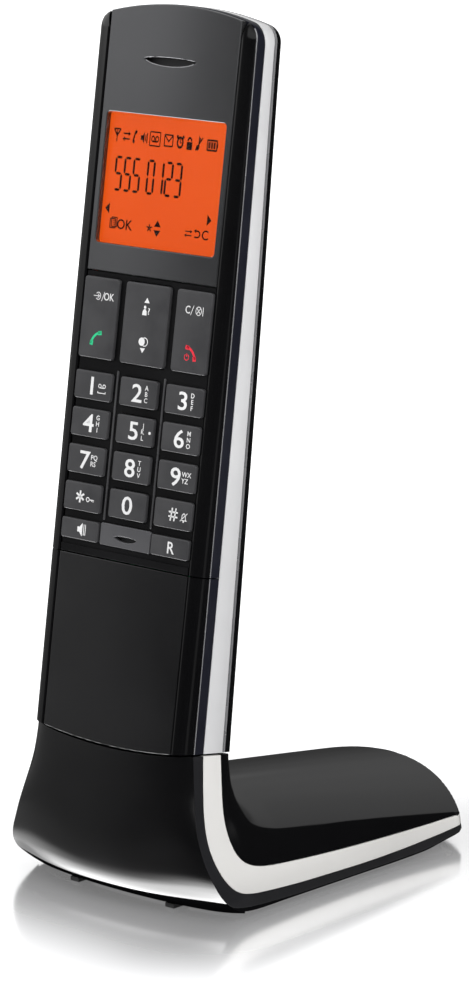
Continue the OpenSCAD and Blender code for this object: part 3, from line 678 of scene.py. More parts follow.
# ------------------------------------------------------------------ printed legends
class Ink:
    """collects thin printed shapes on one surface"""

    def __init__(self):
        self.v, self.f = [], []

    def poly(self, pts, th=0.02):
        n, o = len(pts), len(self.v)
        area = sum(pts[i][0] * pts[(i + 1) % n][1] - pts[(i + 1) % n][0] * pts[i][1] for i in range(n))
        if area < 0:
            pts = pts[::-1]
        self.v += [(x, -th, s) for x, s in pts] + [(x, 0.0, s) for x, s in pts]
        self.f.append(tuple(o + i for i in range(n)))
        self.f.append(tuple(o + n + i for i in range(n - 1, -1, -1)))
        for i in range(n):
            k = (i + 1) % n
            self.f.append((o + i, o + n + i, o + n + k, o + k))
        return self

    def line(self, pts, w, closed=False):
        P = list(pts) + ([pts[0]] if closed else [])
        n = len(P)
        L, R = [], []
        for i in range(n):
            a = P[i - 1] if i > 0 else (P[-2] if closed else P[i])
            c = P[i + 1] if i < n - 1 else (P[1] if closed else P[i])
            d1 = Vector((P[i][0] - a[0], P[i][1] - a[1]))
            d2 = Vector((c[0] - P[i][0], c[1] - P[i][1]))
            d1 = d1.normalized() if d1.length > 1e-9 else d2.normalized()
            d2 = d2.normalized() if d2.length > 1e-9 else d1
            t = (d1 + d2)
            t = t.normalized() if t.length > 1e-6 else d1
            nrm = Vector((-t.y, t.x))
            k = w / 2 / max(0.45, abs(nrm.dot(Vector((-d1.y, d1.x)))))
            L.append((P[i][0] + nrm.x * k, P[i][1] + nrm.y * k))
            R.append((P[i][0] - nrm.x * k, P[i][1] - nrm.y * k))
        for i in range(n - 1):
            self.poly([L[i], L[i + 1], R[i + 1], R[i]])
        return self

    def disc(self, x, s, rad, n=20, sx=1.0):
        return self.poly([(x + sx * rad * math.cos(2 * math.pi * k / n), s + rad * math.sin(2 * math.pi * k / n)) for k in range(n)])

    def ring(self, x, s, rad, w, a0=0, a1=360, n=24, sx=1.0):
        pts = [(x + sx * rad * math.cos(math.radians(a0 + (a1 - a0) * k / n)), s + rad * math.sin(math.radians(a0 + (a1 - a0) * k / n))) for k in range(n + 1)]
        full = abs(a1 - a0) >= 359
        return self.line(pts[:-1] if full else pts, w, closed=full)

    def text(self, t, x, s, h, align="CENTER", bold=0.0, sx=1.0):
        cu = bpy.data.curves.new("tmp", "FONT")
        cu.body = t
        cu.size = 1.0
        cu.align_x = "LEFT"
        cu.offset = bold
        cu.extrude = 0.01
        cu.resolution_u = 3
        ob = bpy.data.objects.new("tmp", cu)
        col.objects.link(ob)
        dg = bpy.context.evaluated_depsgraph_get()
        me = bpy.data.meshes.new_from_object(ob.evaluated_get(dg))
        bpy.data.objects.remove(ob)
        if not len(me.vertices):
            return self
        xs = [v.co.x for v in me.vertices]
        ys = [v.co.y for v in me.vertices]
        cap = 0.70  # cap height of the face at size 1
        k = h / cap
        x0, x1 = min(xs), max(xs)
        off = {"CENTER": -(x0 + x1) / 2, "LEFT": -x0, "RIGHT": -x1}[align]
        o = len(self.v)
        for v in me.vertices:
            self.v.append((x + (v.co.x + off) * k * sx, -0.01 - (0.01 if v.co.z > 0 else -0.01), s + v.co.y * k))
        for p in me.polygons:
            self.f.append(tuple(o + i for i in p.vertices))
        bpy.data.meshes.remove(me)
        return self

    def put(self, name, y, mat, body, slot=None):
        return add(name, [H(x, y + yy, s) for (x, yy, s) in self.v], self.f, mat, body, slot, angle=30, weld=0, recalc=False)


def handset_icon(ink, x, s, k, ang):
    """old style receiver pictogram, k is its length in mm"""
    c, si = math.cos(math.radians(ang)), math.sin(math.radians(ang))
    body = [(-0.5, -0.10), (-0.5, 0.12), (-0.36, 0.20), (0.36, 0.20), (0.5, 0.12), (0.5, -0.10), (0.26, -0.10), (0.24, 0.03), (-0.24, 0.03), (-0.26, -0.10)]
    quads = [[0, 1, 2, 8 + 0, 9], [2, 3, 7, 8], [3, 4, 5, 6, 7]]
    for q in quads:
        pts = [body[i] for i in q]
        ink.poly([(x + k * (px * c - py * si), s + k * (px * si + py * c)) for px, py in pts])


# thin light grey line on the face along the slot's lower lip: painted highlight
Ink().line(ear_lip_highlight_path, 0.15).put("ear_slot_lip_highlight", -0.004, M["edge"], "handset")

KY = -0.45
digits = {"key_1": "1", "key_2": "2", "key_3": "3", "key_4": "4", "key_5": "5", "key_6": "6", "key_7": "7", "key_8": "8", "key_9": "9", "key_0": "0"}
letters = {"key_2": "ABC", "key_3": "DEF", "key_4": "GHI", "key_5": "JKL", "key_6": "MNO", "key_7": "PQRS", "key_8": "TUV", "key_9": "WXYZ"}
for n, (x, s) in kpos.items():
    ik = Ink()
    if n in digits:
        dx = 0.0 if n == "key_0" else -0.25
        ik.text(digits[n], x + dx, s - 1.85, 3.7, bold=0.010, sx=1.2)
    if n in letters:
        t = letters[n]
        if len(t) == 3:
            for i, ch in enumerate(t):
                ik.text(ch, x + 2.35, s + 0.82 - i * 1.28, 0.98, bold=0.01)
        else:
            ik.text(t[:2], x + 1.45, s + 0.2, 1.02, "LEFT", bold=0.01)
            ik.text(t[2:], x + 1.45, s - 1.15, 1.02, "LEFT", bold=0.01)
    if n == "key_1":
        x += 1.25
        ik.ring(x + 0.75, s + 0.15, 0.36, 0.18).ring(x + 1.95, s + 0.15, 0.36, 0.18)
        ik.line([(x + 0.75, s - 0.22), (x + 1.95, s - 0.22)], 0.18)
        ik.line([(x + 0.3, s - 0.95), (x + 0.3, s - 1.3), (x + 2.4, s - 1.3), (x + 2.4, s - 0.95)], 0.17)
    if n == "key_5":
        ik.disc(x + 4.3, s + 0.0, 0.32)
    if n == "key_star":
        x += 1.0
        for k in range(3):
            a = math.radians(60 * k + 90)
            ik.line([(x - 1.6 - 1.25 * math.cos(a), s - 1.25 * math.sin(a)), (x - 1.6 + 1.25 * math.cos(a), s + 1.25 * math.sin(a))], 0.42)
        ik.ring(x + 0.65, s - 0.35, 0.42, 0.2)
        ik.line([(x + 1.05, s - 0.35), (x + 2.35, s - 0.35)], 0.2).line([(x + 2.2, s - 0.35), (x + 2.2, s - 0.75)], 0.2).line([(x + 1.75, s - 0.35), (x + 1.75, s - 0.65)], 0.2)
    if n == "key_hash":
        x += 1.5
        cx_ = x - 1.35
        for o in (-0.5, 0.5):
            ik.line([(cx_ + o - 0.18, s - 1.35), (cx_ + o + 0.18, s + 1.35)], 0.34)
            ik.line([(cx_ - 1.25, s + o * 0.95), (cx_ + 1.25, s + o * 0.95)], 0.34)
        bx_, by_ = x + 1.6, s - 0.25
        ik.line([(bx_ - 0.75, by_ - 0.6), (bx_ - 0.5, by_ - 0.3), (bx_ - 0.45, by_ + 0.45), (bx_, by_ + 0.85), (bx_ + 0.45, by_ + 0.45), (bx_ + 0.5, by_ - 0.3), (bx_ + 0.75, by_ - 0.6)], 0.17, closed=True)
        ik.line([(bx_ - 0.95, by_ - 0.8), (bx_ + 0.95, by_ + 0.95)], 0.17)
        ik.disc(bx_, by_ - 0.85, 0.2)
    ik.put("legend_" + n, KY - 0.005, M["print"], n, "key_grey")

# rocker keys
ik = Ink()
x = rk["key_ok_talk"][0]
ik.ring(x - 2.6, 45.1, 0.85, 0.17, -140, 140).line([(x - 4.2, 45.1), (x - 2.2, 45.1)], 0.17).line([(x - 2.75, 45.6), (x - 2.15, 45.1), (x - 2.75, 44.6)], 0.17)
ik.line([(x - 1.25, 44.0), (x - 0.35, 46.2)], 0.17)
ik.text("OK", x + 1.35, 44.3, 1.75, bold=0.006)
ik.v = [(x + (vx - x) * 0.78 + 1.35, vy, 44.9 + (vs - 45.1) * 0.88) for (vx, vy, vs) in ik.v]
ik.put("legend_key_ok_talk", KY - 0.005, M["print"], "key_ok_talk")
ik = Ink()
ik.ring(x + 1.7, 34.2, 3.35, 0.50, 103, 167, 14)
for a in (98, 172):
    c, si = math.cos(math.radians(a)), math.sin(math.radians(a))
    e = -1 if a < 135 else 1
    ik.poly([(x + 1.7 + c * 2.75, 34.2 + si * 2.75), (x + 1.7 + c * 3.62, 34.2 + si * 3.62), (x + 1.7 + c * 3.62 + e * si * 0.95, 34.2 + si * 3.62 - e * c * 0.95), (x + 1.7 + c * 2.75 + e * si * 0.95, 34.2 + si * 2.75 - e * c * 0.95)])
ik.put("legend_talk_green", KY - 0.005, M["green"], "key_ok_talk")
ik = Ink()
ik.poly([(-0.62, 44.9), (0.82, 44.9), (0.1, 45.95)])
ik.disc(-0.3, 44.0, 0.34).poly([(-0.95, 42.35), (0.3, 42.35), (0.2, 43.2), (-0.1, 43.6), (-0.5, 43.6), (-0.85, 43.2)]).text("?", 0.85, 42.6, 1.35, bold=0.012)
ik.disc(-0.35, 36.9, 0.85).ring(0.45, 36.9, 0.85, 0.18, -115, 115)
ik.poly([(-0.65, 35.6), (0.05, 34.6), (0.75, 35.6)])
ik.put("legend_key_nav", KY - 0.005, M["print"], "key_nav")
ik = Ink()
x = rk["key_clear_end"][0]
ik.text("C", x - 2.6, 44.3, 1.75, bold=0.006)
ik.line([(x - 1.55, 44.0), (x - 0.65, 46.2)], 0.17)
ik.ring(x + 1.1, 45.1, 0.95, 0.17).line([(x + 0.43, 44.43), (x + 1.77, 45.77)], 0.17).line([(x + 0.43, 45.77), (x + 1.77, 44.43)], 0.17)
ik.line([(x + 2.6, 46.1), (x + 2.6, 44.1)], 0.2)
ik.v = [(x + (vx - x) * 0.80 + 0.55, vy, 44.8 + (vs - 45.1) * 0.9) for (vx, vy, vs) in ik.v]
ik.put("legend_key_clear_end", KY - 0.005, M["print"], "key_clear_end")
ik = Ink()
ik.ring(x - 1.6, 34.1, 3.35, 0.50, 13, 77, 14)
for a in (8, 82):
    c, si = math.cos(math.radians(a)), math.sin(math.radians(a))
    e = -1 if a < 45 else 1
    ik.poly([(x - 1.6 + c * 2.75, 34.1 + si * 2.75), (x - 1.6 + c * 3.62, 34.1 + si * 3.62), (x - 1.6 + c * 3.62 + e * si * 0.95, 34.1 + si * 3.62 - e * c * 0.95), (x - 1.6 + c * 2.75 + e * si * 0.95, 34.1 + si * 2.75 - e * c * 0.95)])
ik.ring(x - 0.65, 35.2, 0.6, 0.18, 120, 420, 14).line([(x - 0.65, 35.3), (x - 0.65, 36.0)], 0.18)
ik.put("legend_end_red", KY - 0.005, M["red"], "key_clear_end")
ik = Ink()
ik.poly([(-13.9, -4.15), (-13.3, -4.15), (-12.5, -4.8), (-12.5, -2.75), (-13.3, -3.4), (-13.9, -3.4)])
for k in range(2):
    ik.line([(-12.1 + 0.45 * k, -4.6), (-12.1 + 0.45 * k, -2.95)], 0.18)
ik.v = [(vx + 0.6, vy, -3.75 + (vs + 3.77) * 1.4) for (vx, vy, vs) in ik.v]
ik.put("legend_key_speaker", KY - 0.005, M["print"], "key_speaker")
Ink().text("R", 13.2, -5.05, 2.45, bold=0.008).put("legend_key_r", KY - 0.005, M["print"], "key_r")

# ---- what the screen shows
LY = 1.455
ik = Ink()
w = 0.24
icons = 80.5
X = -13.6
ik.line([(X, icons - 1.0), (X, icons + 0.9)], w).line([(X - 0.9, icons + 0.95), (X, icons - 0.1), (X + 0.9, icons + 0.95)], w * 1.3, False).line([(X - 0.9, icons + 0.95), (X + 0.9, icons + 0.95)], w)
X = -10.9
ik.line([(X - 0.9, icons + 0.35), (X + 0.9, icons + 0.35)], w).poly([(X + 0.5, icons + 0.75), (X + 1.1, icons + 0.35), (X + 0.5, icons)])
ik.line([(X - 0.9, icons - 0.45), (X + 0.9, icons - 0.45)], w).poly([(X - 0.5, icons - 0.1), (X - 1.1, icons - 0.45), (X - 0.5, icons - 0.85)])
handset_icon(ik, -8.5, icons, 2.1, 70)
X = -6.3
ik.poly([(X - 0.6, icons - 0.35), (X - 0.1, icons - 0.35), (X + 0.4, icons - 0.9), (X + 0.4, icons + 0.9), (X - 0.1, icons + 0.35), (X - 0.6, icons + 0.35)])
ik.line([(X + 0.75, icons - 0.5), (X + 0.75, icons + 0.5)], w).line([(X + 1.15, icons - 0.8), (X + 1.15, icons + 0.8)], w)
X = -2.9
ik.line(rrect(X, icons, 2.9, 2.1, 0.15, 2), w * 0.9, True).ring(X - 0.55, icons, 0.4, w).ring(X + 0.55, icons, 0.4, w).line([(X - 0.55, icons - 0.4), (X + 0.55, icons - 0.4)], w)
X = 0.9
ik.line(rrect(X, icons, 2.3, 1.7, 0.1, 2), w, True).line([(X - 1.1, icons + 0.75), (X, icons - 0.15), (X + 1.1, icons + 0.75)], w)
X = 4.1
ik.ring(X, icons - 0.1, 0.75, w * 1.6).line([(X, icons - 0.1), (X, icons + 0.4)], w).line([(X, icons - 0.1), (X + 0.35, icons - 0.1)], w).disc(X - 0.8, icons + 0.75, 0.28).disc(X + 0.8, icons + 0.75, 0.28)
X = 6.7
ik.poly([(X - 0.75, icons - 1.05), (X + 0.75, icons - 1.05), (X + 0.75, icons + 0.15), (X - 0.75, icons + 0.15)]).ring(X, icons + 0.25, 0.5, w * 1.4, 0, 180, 10)
X = 9.3
ik.disc(X - 0.35, icons - 0.6, 0.42).line([(X, icons - 0.6), (X, icons + 0.95), (X + 0.6, icons + 0.4)], w * 1.3).line([(X - 0.9, icons - 1.0), (X + 0.95, icons + 1.0)], w)
X = 12.9
ik.line(rrect(X, icons, 2.6, 1.5, 0.1, 2), w * 1.2, True).poly([(X + 1.35, icons - 0.35), (X + 1.6, icons - 0.35), (X + 1.6, icons + 0.35), (X + 1.35, icons + 0.35)])
for k in range(3):
    ik.poly([(X - 1.0 + 0.7 * k, icons - 0.5), (X - 0.5 + 0.7 * k, icons - 0.5), (X - 0.5 + 0.7 * k, icons + 0.5), (X - 1.0 + 0.7 * k, icons + 0.5)])
ik.v = [(vx - 0.8, vy, 78.3 + (vs - 80.5) * 1.35) for (vx, vy, vs) in ik.v]
# bottom row
bs = 60.1
ik.line(rrect(-13.3, bs, 1.5, 1.9, 0.12, 2), w, True).line(rrect(-12.9, bs + 0.3, 1.5, 1.9, 0.12, 2), w, True)
for k in range(3):
    ik.line([(-13.3, bs - 0.2 + 0.4 * k), (-12.5, bs - 0.2 + 0.4 * k)], w * 0.7)
ik.text("OK", -9.9, bs - 1.0, 2.05, bold=0.014)
n0 = len(ik.v)
for k in range(5):
    a = math.radians(90 + 72 * k)
    ik.line([(-1.9, bs), (-1.9 + 0.8 * math.cos(a), bs + 0.8 * math.sin(a))], 0.3)
ik.poly([(-0.65, bs + 0.4), (1.25, bs + 0.4), (0.3, bs + 1.75)]).poly([(-0.65, bs - 0.3), (0.3, bs - 1.65), (1.25, bs - 0.3)])
X = 9.0
ik.line([(X - 0.9, bs + 0.35), (X + 0.9, bs + 0.35)], w).poly([(X + 0.5, bs + 0.75), (X + 1.1, bs + 0.35), (X + 0.5, bs)])
ik.line([(X - 0.9, bs - 0.45), (X + 0.9, bs - 0.45)], w).poly([(X - 0.5, bs - 0.1), (X - 1.1, bs - 0.45), (X - 0.5, bs - 0.85)])
ik.ring(11.5, bs, 0.65, w * 1.3, -90, 90, 10).line([(11.5, bs - 0.65), (10.7, bs - 0.65)], w * 1.3).line([(11.5, bs + 0.65), (10.9, bs + 0.65)], w * 1.3).poly([(10.5, bs + 0.65), (11.1, bs + 1.05), (11.1, bs + 0.2)])
ik.text("C", 13.6, bs - 0.95, 1.95, bold=0.012)
ik.v = ik.v[:n0] + [(vx - 1.05, vy, vs) for (vx, vy, vs) in ik.v[n0:]]
ik.poly([(-15.8, 63.1), (-14.6, 64.25), (-14.6, 61.95)]).poly([(13.9, 63.2), (12.7, 64.35), (12.7, 62.05)])
# seven segment digits
seg = {"a": ((0, 2), (1, 2)), "b": ((1, 2), (1, 1)), "c": ((1, 1), (1, 0)), "d": ((0, 0), (1, 0)), "e": ((0, 1), (0, 0)), "f": ((0, 2), (0, 1)), "g": ((0, 1), (1, 1))}
lit = {"0": "abcdef", "1": "bc", "2": "abged", "3": "abgcd", "5": "afgcd"}
sw, sh, x0, s0 = 1.72, 3.35, -13.9, 67.1
for i, ch in enumerate("5550123"):
    i = i * 0.78 + (0.45 if i > 2 else 0)
    for q in lit[ch]:
        (ax, ay), (bx2, by2) = seg[q]
        P0 = Vector((x0 + i * 3.25 + ax * sw, s0 + ay * sh))
        P1 = Vector((x0 + i * 3.25 + bx2 * sw, s0 + by2 * sh))
        d = (P1 - P0).normalized() * 0.14
        P0, P1 = P0 + d * 0.8, P1 - d * 0.8
        nrm = Vector((-d.y, d.x)).normalized() * 0.27
        e = (P1 - P0).normalized() * 0.27
        ik.poly([tuple(P0), tuple(P0 + e + nrm), tuple(P1 - e + nrm), tuple(P1), tuple(P1 - e - nrm), tuple(P0 + e - nrm)])
ik.put("screen_segments", LY, M["ink"], "handset", "lcd")

# ------------------------------------------------------------------ rear shell and battery door
DX, D0, D1 = 16.8, -42.0, 5.5


def rear_y(x, s, d):
    """depth of the rear surface at inset d from the outline"""
    a, full = e3(s) + 0.76, dd(s)
    q = max(0.0, 1 - d / 5.2)
    return a + (full - a) * (max(0.0, 1 - q ** 2.0)) ** 0.5


cols = [5.2 * (1 - math.cos(math.pi / 2 * k / 12)) for k in range(13)]  # inset steps
mid = 8
srows = [-45.3] + rows(D0, D1, 4) + rows(D1, 99.5, 4)
RR = 3.7
CXR = HW - RR
CSR = CA + math.sqrt((RA - RR) ** 2 - CXR ** 2)
hp = half_path(srows, nc=12, na=14, rc=RR)
grid = []
for (x, s, nx, ns) in hp:
    row = []
    inner = None
    for d in cols:
        # in the corner the inset path shortens towards its centre
        if s > CSR - 0.01 and x > CXR:
            m_ = RR - 0.1
            dx_ = x - nx * min(d, m_) - max(0, d - m_) * 0.7
            ds_ = s - ns * min(d, m_) - max(0, d - m_) * 0.7
        else:
            dx_, ds_ = x - nx * d, s - ns * d
        row.append((tap(dx_, ds_), rear_y(dx_, ds_, d), ds_))
    grid.append(row)


def rear_grid(i0, i1, with_mid=True):
    g = []
    for row in grid[i0:i1 + 1]:
        R = list(row)
        xi, yi, si = R[-1]
        left = [(-p[0], p[1], p[2]) for p in R[::-1]]
        m_ = [(xi * (1 - 2 * k / (2 * mid)), yi, si) for k in range(1, 2 * mid)]
        g.append(R + m_ + left)
    return g


full = rear_grid(0, len(grid) - 1)
G = [[H(p[0], p[1], warp(p[0], p[2])) for p in row] for row in full]
v, f = shell(G, 1.25, lambda p: (0, CL, -SL))
rear = add("rear_shell_back", v, f, M["rear"], "handset", "rear_black", ("rear_shell",), angle=50, weld=2e-6)


def cutter(outer, y0, y1):
    v, f = plate_mesh(outer, [], y0, y1, 0.02, 1)
    me = bpy.data.meshes.new("cut")
    me.from_pydata([H(*p) for p in v], [], f)
    bm = bmesh.new()
    bm.from_mesh(me)
    bmesh.ops.remove_doubles(bm, verts=bm.verts, dist=2e-7)
    bmesh.ops.recalc_face_normals(bm, faces=bm.faces)
    bm.to_mesh(me)
    bm.free()
    ob = bpy.data.objects.new("cut", me)
    col.objects.link(ob)
    return ob


def carve(ob, cutters, angle=40, op="DIFFERENCE"):
    for i, c in enumerate(cutters):
        md = ob.modifiers.new("b%d" % i, "BOOLEAN")
        md.operation = op
        md.solver = "EXACT"
        md.object = c
    dg = bpy.context.evaluated_depsgraph_get()
    me = bpy.data.meshes.new_from_object(ob.evaluated_get(dg))
    ob.modifiers.clear()
    old = ob.data
    ob.data = me
    bpy.data.meshes.remove(old)
    for c in cutters:
        bpy.data.objects.remove(c)
    finish_mesh(ob, angle)
    return ob


slots = [cutter(rrect(0, 62 + k * 2.2, 13 - abs(k) * 2.2, 1.0, 0.45), 8, 20) for k in range(-2, 3)]
door_cut = cutter(rrect(0, (D0 + D1) / 2, 2 * DX, D1 - D0, 2.0, 8), 9.5, 24)
carve(rear, slots + [door_cut], 50)
# the door: the same rear surface, cut to its outline
v, f = shell(G, 1.2, lambda p: (0, CL, -SL))
door = add("battery_door_back", v, f, M["rear"], "battery_door", "rear_black", ("battery_door",), angle=50, weld=2e-6)
carve(door, [cutter(rrect(0, (D0 + D1) / 2, 2 * DX - 0.4, D1 - D0 - 0.4, 1.8, 8), 9.0, 24)], 50, "INTERSECT")
for k in range(5):
    s = -0.5 + 1.5 * k - 1.5
    y = dd(s)
    plate("door_grip_%d" % k, rrect(0, s, 12 - 0.6 * k, 0.55, 0.25), [], y - 0.35, y + 0.28, M["rear"], "battery_door", "rear_black", bev=0.12)

# ------------------------------------------------------------------ base
wz = table_fn([(-82, 30.0), (-76.5, 30.0), (-74, 29.75), (-72, 29.3), (-70, 28.5), (-67.5, 27.4), (-65, 26.45), (-60, 24.75), (-55, 23.45), (-50, 22.6), (-46, 22.15), (-40, 22.1)])
SG = 0.35


def seam_z(x, y):
    return ((seam(x) - SG) - y * SL) / CL


fyf = table_fn([(-79, -2.8), (-78, -4.6), (-77, -6.4), (-76.2, -7.7), (-75.5, -8.45), (-74.8, -8.88), (-73.8, -9.22), (-72.4, -9.46), (-70.5, -9.55), (-67, -9.35), (-60, -8.6), (-55, -8.0), (-50, -7.45), (-46, -6.95), (-40, -6.3)])
crease_pts = [(-3.5, -40), (-4, -45), (-4.65, -52.3), (-5.4, -56.2), (-6.05, -60.1), (-6.3, -63.2), (-6.2, -66.4), (-5.8, -69.6), (-4.95, -72.15), (-4.3, -73.4), (-3.2, -74.9), (-1.8, -76.2), (-0.2, -77.3), (1.7, -78.3), (3.4, -79.1), (5.5, -80.3)]
cre = spline(crease_pts, 6)
cyf = table_fn(sorted([(p[1], p[0]) for p in cre]))


def gq(q, z):
    q = abs(q)
    gt = 0.2 * q * q + 0.8 * q ** 7
    gm = 1.15 * q ** 2.3 / (1 + 0.15 * q ** 8)
    gl = 0.6 * q * q + 0.4 * q ** 10
    if z > -75.5:
        k = max(0, min(1, (-54 - z) / 20))
        return gt * (1 - k) + gm * k
    k = min(1, (-75.5 - z) / 3.5)
    return gm * (1 - k) + gl * k


ZB = -79.0
NQ = 36


def skirt_rows(zl, dy=0.0, inx=0.0):
    grid = []
    for zt in zl:
        t = (zt - ZB) / 34.0
        row = []
        for k in range(-NQ, NQ + 1):
            q = math.sin(k * math.pi / 2 / NQ)
            z = ZB + t * (34.1 - 1.9 * (1 - q * q))
            for _ in range(5):
                x = (wz(z) - inx) * q
                y = fyf(z) + dy + (cyf(z) - 0.06 - fyf(z) - dy) * gq(q, z)
                z = ZB + t * (seam_z(min(22, abs(x)), y) - ZB)
            row.append(B(x, y, z))
        grid.append(row)
    return grid


top_z = -45.0
zl = [-75.55, -75.3, -74.95, -74.5, -74.0, -73.4, -72.7, -71.9, -71.0, -70, -68.8, -67.4, -65.8, -64, -62, -60, -58, -56, -54, -52, -50, -48, -46.2, -45.0]
v, f = shell(skirt_rows(zl, 0.08), 1.5, lambda p: (p[0] * 18, -1, 0))
add("base_front_skirt", v, f, M["skirt"], "base", "gloss_black", ("base_front_cover",), angle=50, bevel=0.16, segs=2)
zl = [-79.0, -78.5, -78, -77.5, -77, -76.5, -76.0, -75.62]
v, f = shell(skirt_rows(zl, 0.22, 0.12), 1.3, lambda p: (p[0] * 18, -1, -0.6))
add("base_skirt_under_lip", v, f, M["lip"], "base", "gloss_black", angle=50, bevel=0.12, segs=2)

# side lines paired station by station: stripe outer edge, band front edge, band rear edge
pair = [
    ((-4.0, 0), (-1.0, 0), (4.3, 0)),
    ((-4.5, -50.4), (-1.55, -50.0), (3.95, -50.3)),
    ((-5.1, -54.8), (-2.35, -54.6), (3.3, -55.0)),
    ((-5.75, -58.2), (-3.05, -58.1), (2.75, -58.4)),
    ((-6.15, -61.0), (-3.5, -60.9), (2.55, -61.0)),
    ((-6.3, -63.8), (-3.7, -63.5), (2.65, -63.4)),
    ((-6.2, -66.6), (-3.5, -66.0), (3.05, -65.5)),
    ((-5.8, -69.4), (-2.9, -68.6), (3.75, -67.2)),
    ((-4.95, -72.1), (-1.9, -71.0), (5.0, -68.7)),
    ((-3.3, -74.75), (-0.2, -73.05), (7.0, -69.8)),
    ((-1.0, -76.65), (2.2, -74.5), (9.6, -70.5)),
    ((1.6, -77.5), (5.5, -75.3), (13.0, -70.95)),
    ((7.0, -78.1), (11.0, -75.8), (18.0, -71.35)),
    ((17.0, -78.5), (20.0, -76.3), (26.0, -71.85)),
    ((29.0, -78.62), (31.0, -76.6), (36.0, -72.35)),
    ((41.0, -78.62), (42.0, -76.78), (46.0, -72.7)),
    ((52.5, -78.6), (53.0, -76.65), (56.0, -72.95)),
    ((61.5, -78.42), (62.0, -76.3), (64.0, -73.1)),
    ((66.5, -77.85), (67.5, -76.03), (69.0, -73.12)),
    ((71.9, -77.15), (71.9, -75.72), (71.9, -73.15)),
]
under = [(-1.0, -76.65), (2.2, -78.35), (7.0, -79.0), (17, -79), (29, -79), (41, -79), (52.5, -79), (61.5, -78.8), (66.5, -78.2), (71.9, -77.5)]


def lines(i):
    pts = []
    for p in pair:
        y, z = p[i]
        if z == 0:
            z = seam_z(22, y)
        pts.append((y, z))
    return spline(pts, 4)


RB = lambda z: 46 - 12 * (z + 96) / 80      # radius of the bowed rear end at height z


NR = 24


def rear_pt(i, z):
    """plan point i (1..NR+3) from the right rear corner to the middle of the rear, at height z"""
    R = RB(z)
    yc = 43 + math.sqrt(R * R - 900)
    if i == 1:
        return 29.97, yc - 0.75
    if i == 2:
        return 29.86, yc - 0.36
    if i == 3:
        return 29.6, yc - 0.02
    th = math.asin(29.25 / R) * (1 - (i - 4) / (NR - 1))
    return R * math.sin(th), 43 + R * math.cos(th)


NRP = NR + 3
bot_rear = lambda t: -77.0 + 1.15 * t
linA, linF, linR = lines(0), lines(1), lines(2)


def ribbon(name, la, lb, za, zb, mat, slot, rep, inset_a, inset_b, t=1.3, nw=6, crown=0.0, bevel=0.12, sink=0.0):
    """skin between two lines on the side of the base, right round the rear"""
    half = []
    for (a, b2) in zip(la, lb):
        L = max(0.02, math.hypot(a[0] - b2[0], a[1] - b2[1]))
        ia, ib = min(inset_a, L * 0.3), min(inset_b, L * 0.3)
        row = []
        for k in range(nw + 1):
            q = k / nw
            fr = (ia + (L - ia - ib) * q) / L
            y, z = a[0] + (b2[0] - a[0]) * fr, a[1] + (b2[1] - a[1]) * fr
            row.append((wz(z) + crown * 4 * q * (1 - q) - sink, y, z))
        half.append(row)
    for i in range(1, NRP + 1):
        tq = i / NRP
        row = []
        A, Bz = za(tq), zb(tq)
        L = abs(A - Bz)
        for k in range(nw + 1):
            q = k / nw
            fr = (inset_a + (L - inset_a - inset_b) * q) / L
            z = A + (Bz - A) * fr
            px, py = rear_pt(i, z)
            row.append((px * (1 - sink / 30), py - sink, z))
        half.append(row)
    g = [[B(*p) for p in row] for row in half] + [[B(-p[0], p[1], p[2]) for p in row] for row in half[-2::-1]]
    v, f = shell(g, t, lambda p: (p[0] * 30, (p[1] - 0.03) * 60 if p[1] > 0.03 else 0, 0))
    return add(name, v, f, mat, "base", slot, rep, angle=35, bevel=bevel, segs=2)


zF, zR = lambda t: -75.6 + 0.35 * t, lambda t: -73.15
ribbon("base_side_stripe", linA, linF, bot_rear, zF, M["chassis"], "chassis_grey", ("base_chassis",), 0.05, 0.06)
ribbon("base_silver_band", linF, linR, zF, zR, M["silverb"], "silver_band", ("base_band",), 0.06, 0.08, crown=0.0)
und = spline(under, 4)
ribbon("base_under_edge", und, linA[-len(und):], lambda t: -77.3 + 1.15 * t, bot_rear, M["lip"], "chassis_grey", (), 0.0, 0.02, nw=2, bevel=0.08, sink=0.18)

# top cover: every station runs from the band, over the crown, to the other band
ztop = lambda y: -57.8 - 0.125 * (y - 14.5)
over = [(9.95, 0, 0), (9.75, -49.5, 0), (9.6, -52.3, 0), (9.75, -54.0, 0.0), (10.2, -55.3, 0.05), (11.0, -56.25, 0.15), (12.2, -57.0, 0.3),
        (13.7, -57.5, 0.5), (15.6, -57.93, 0.7), (18.0, ztop(18), 0.86), (21.0, ztop(21), 0.95), (24.5, ztop(24.5), 1), (29, ztop(29), 1), (35, ztop(35), 1),
        (41.5, ztop(41.5), 1), (49, ztop(49), 1), (57.5, ztop(57.5), 1), (64.6, ztop(64.6), 1), (69.2, ztop(69.2), 1), (71.9, ztop(71.9), 1)]
ov = spline([(y, (seam_z(0, y) if z == 0 else z), n) for (y, z, n) in over], 4)
NP = 40


def smin(a, b2, k):
    h = max(0.0, min(1.0, 0.5 + 0.5 * (b2 - a) / k))
    return b2 + (a - b2) * h - k * h * (1 - h)


def zside(x):
    x = abs(x)
    return -47 - 26 * (max(0, x - 22.1) / 7.9) ** (2 / 3) if x < 30 else -73 - (x - 30) * 40


def zrear(x, y):
    return (46 - math.hypot(x, max(0.01, y - 43))) * 80 / 12 - 96


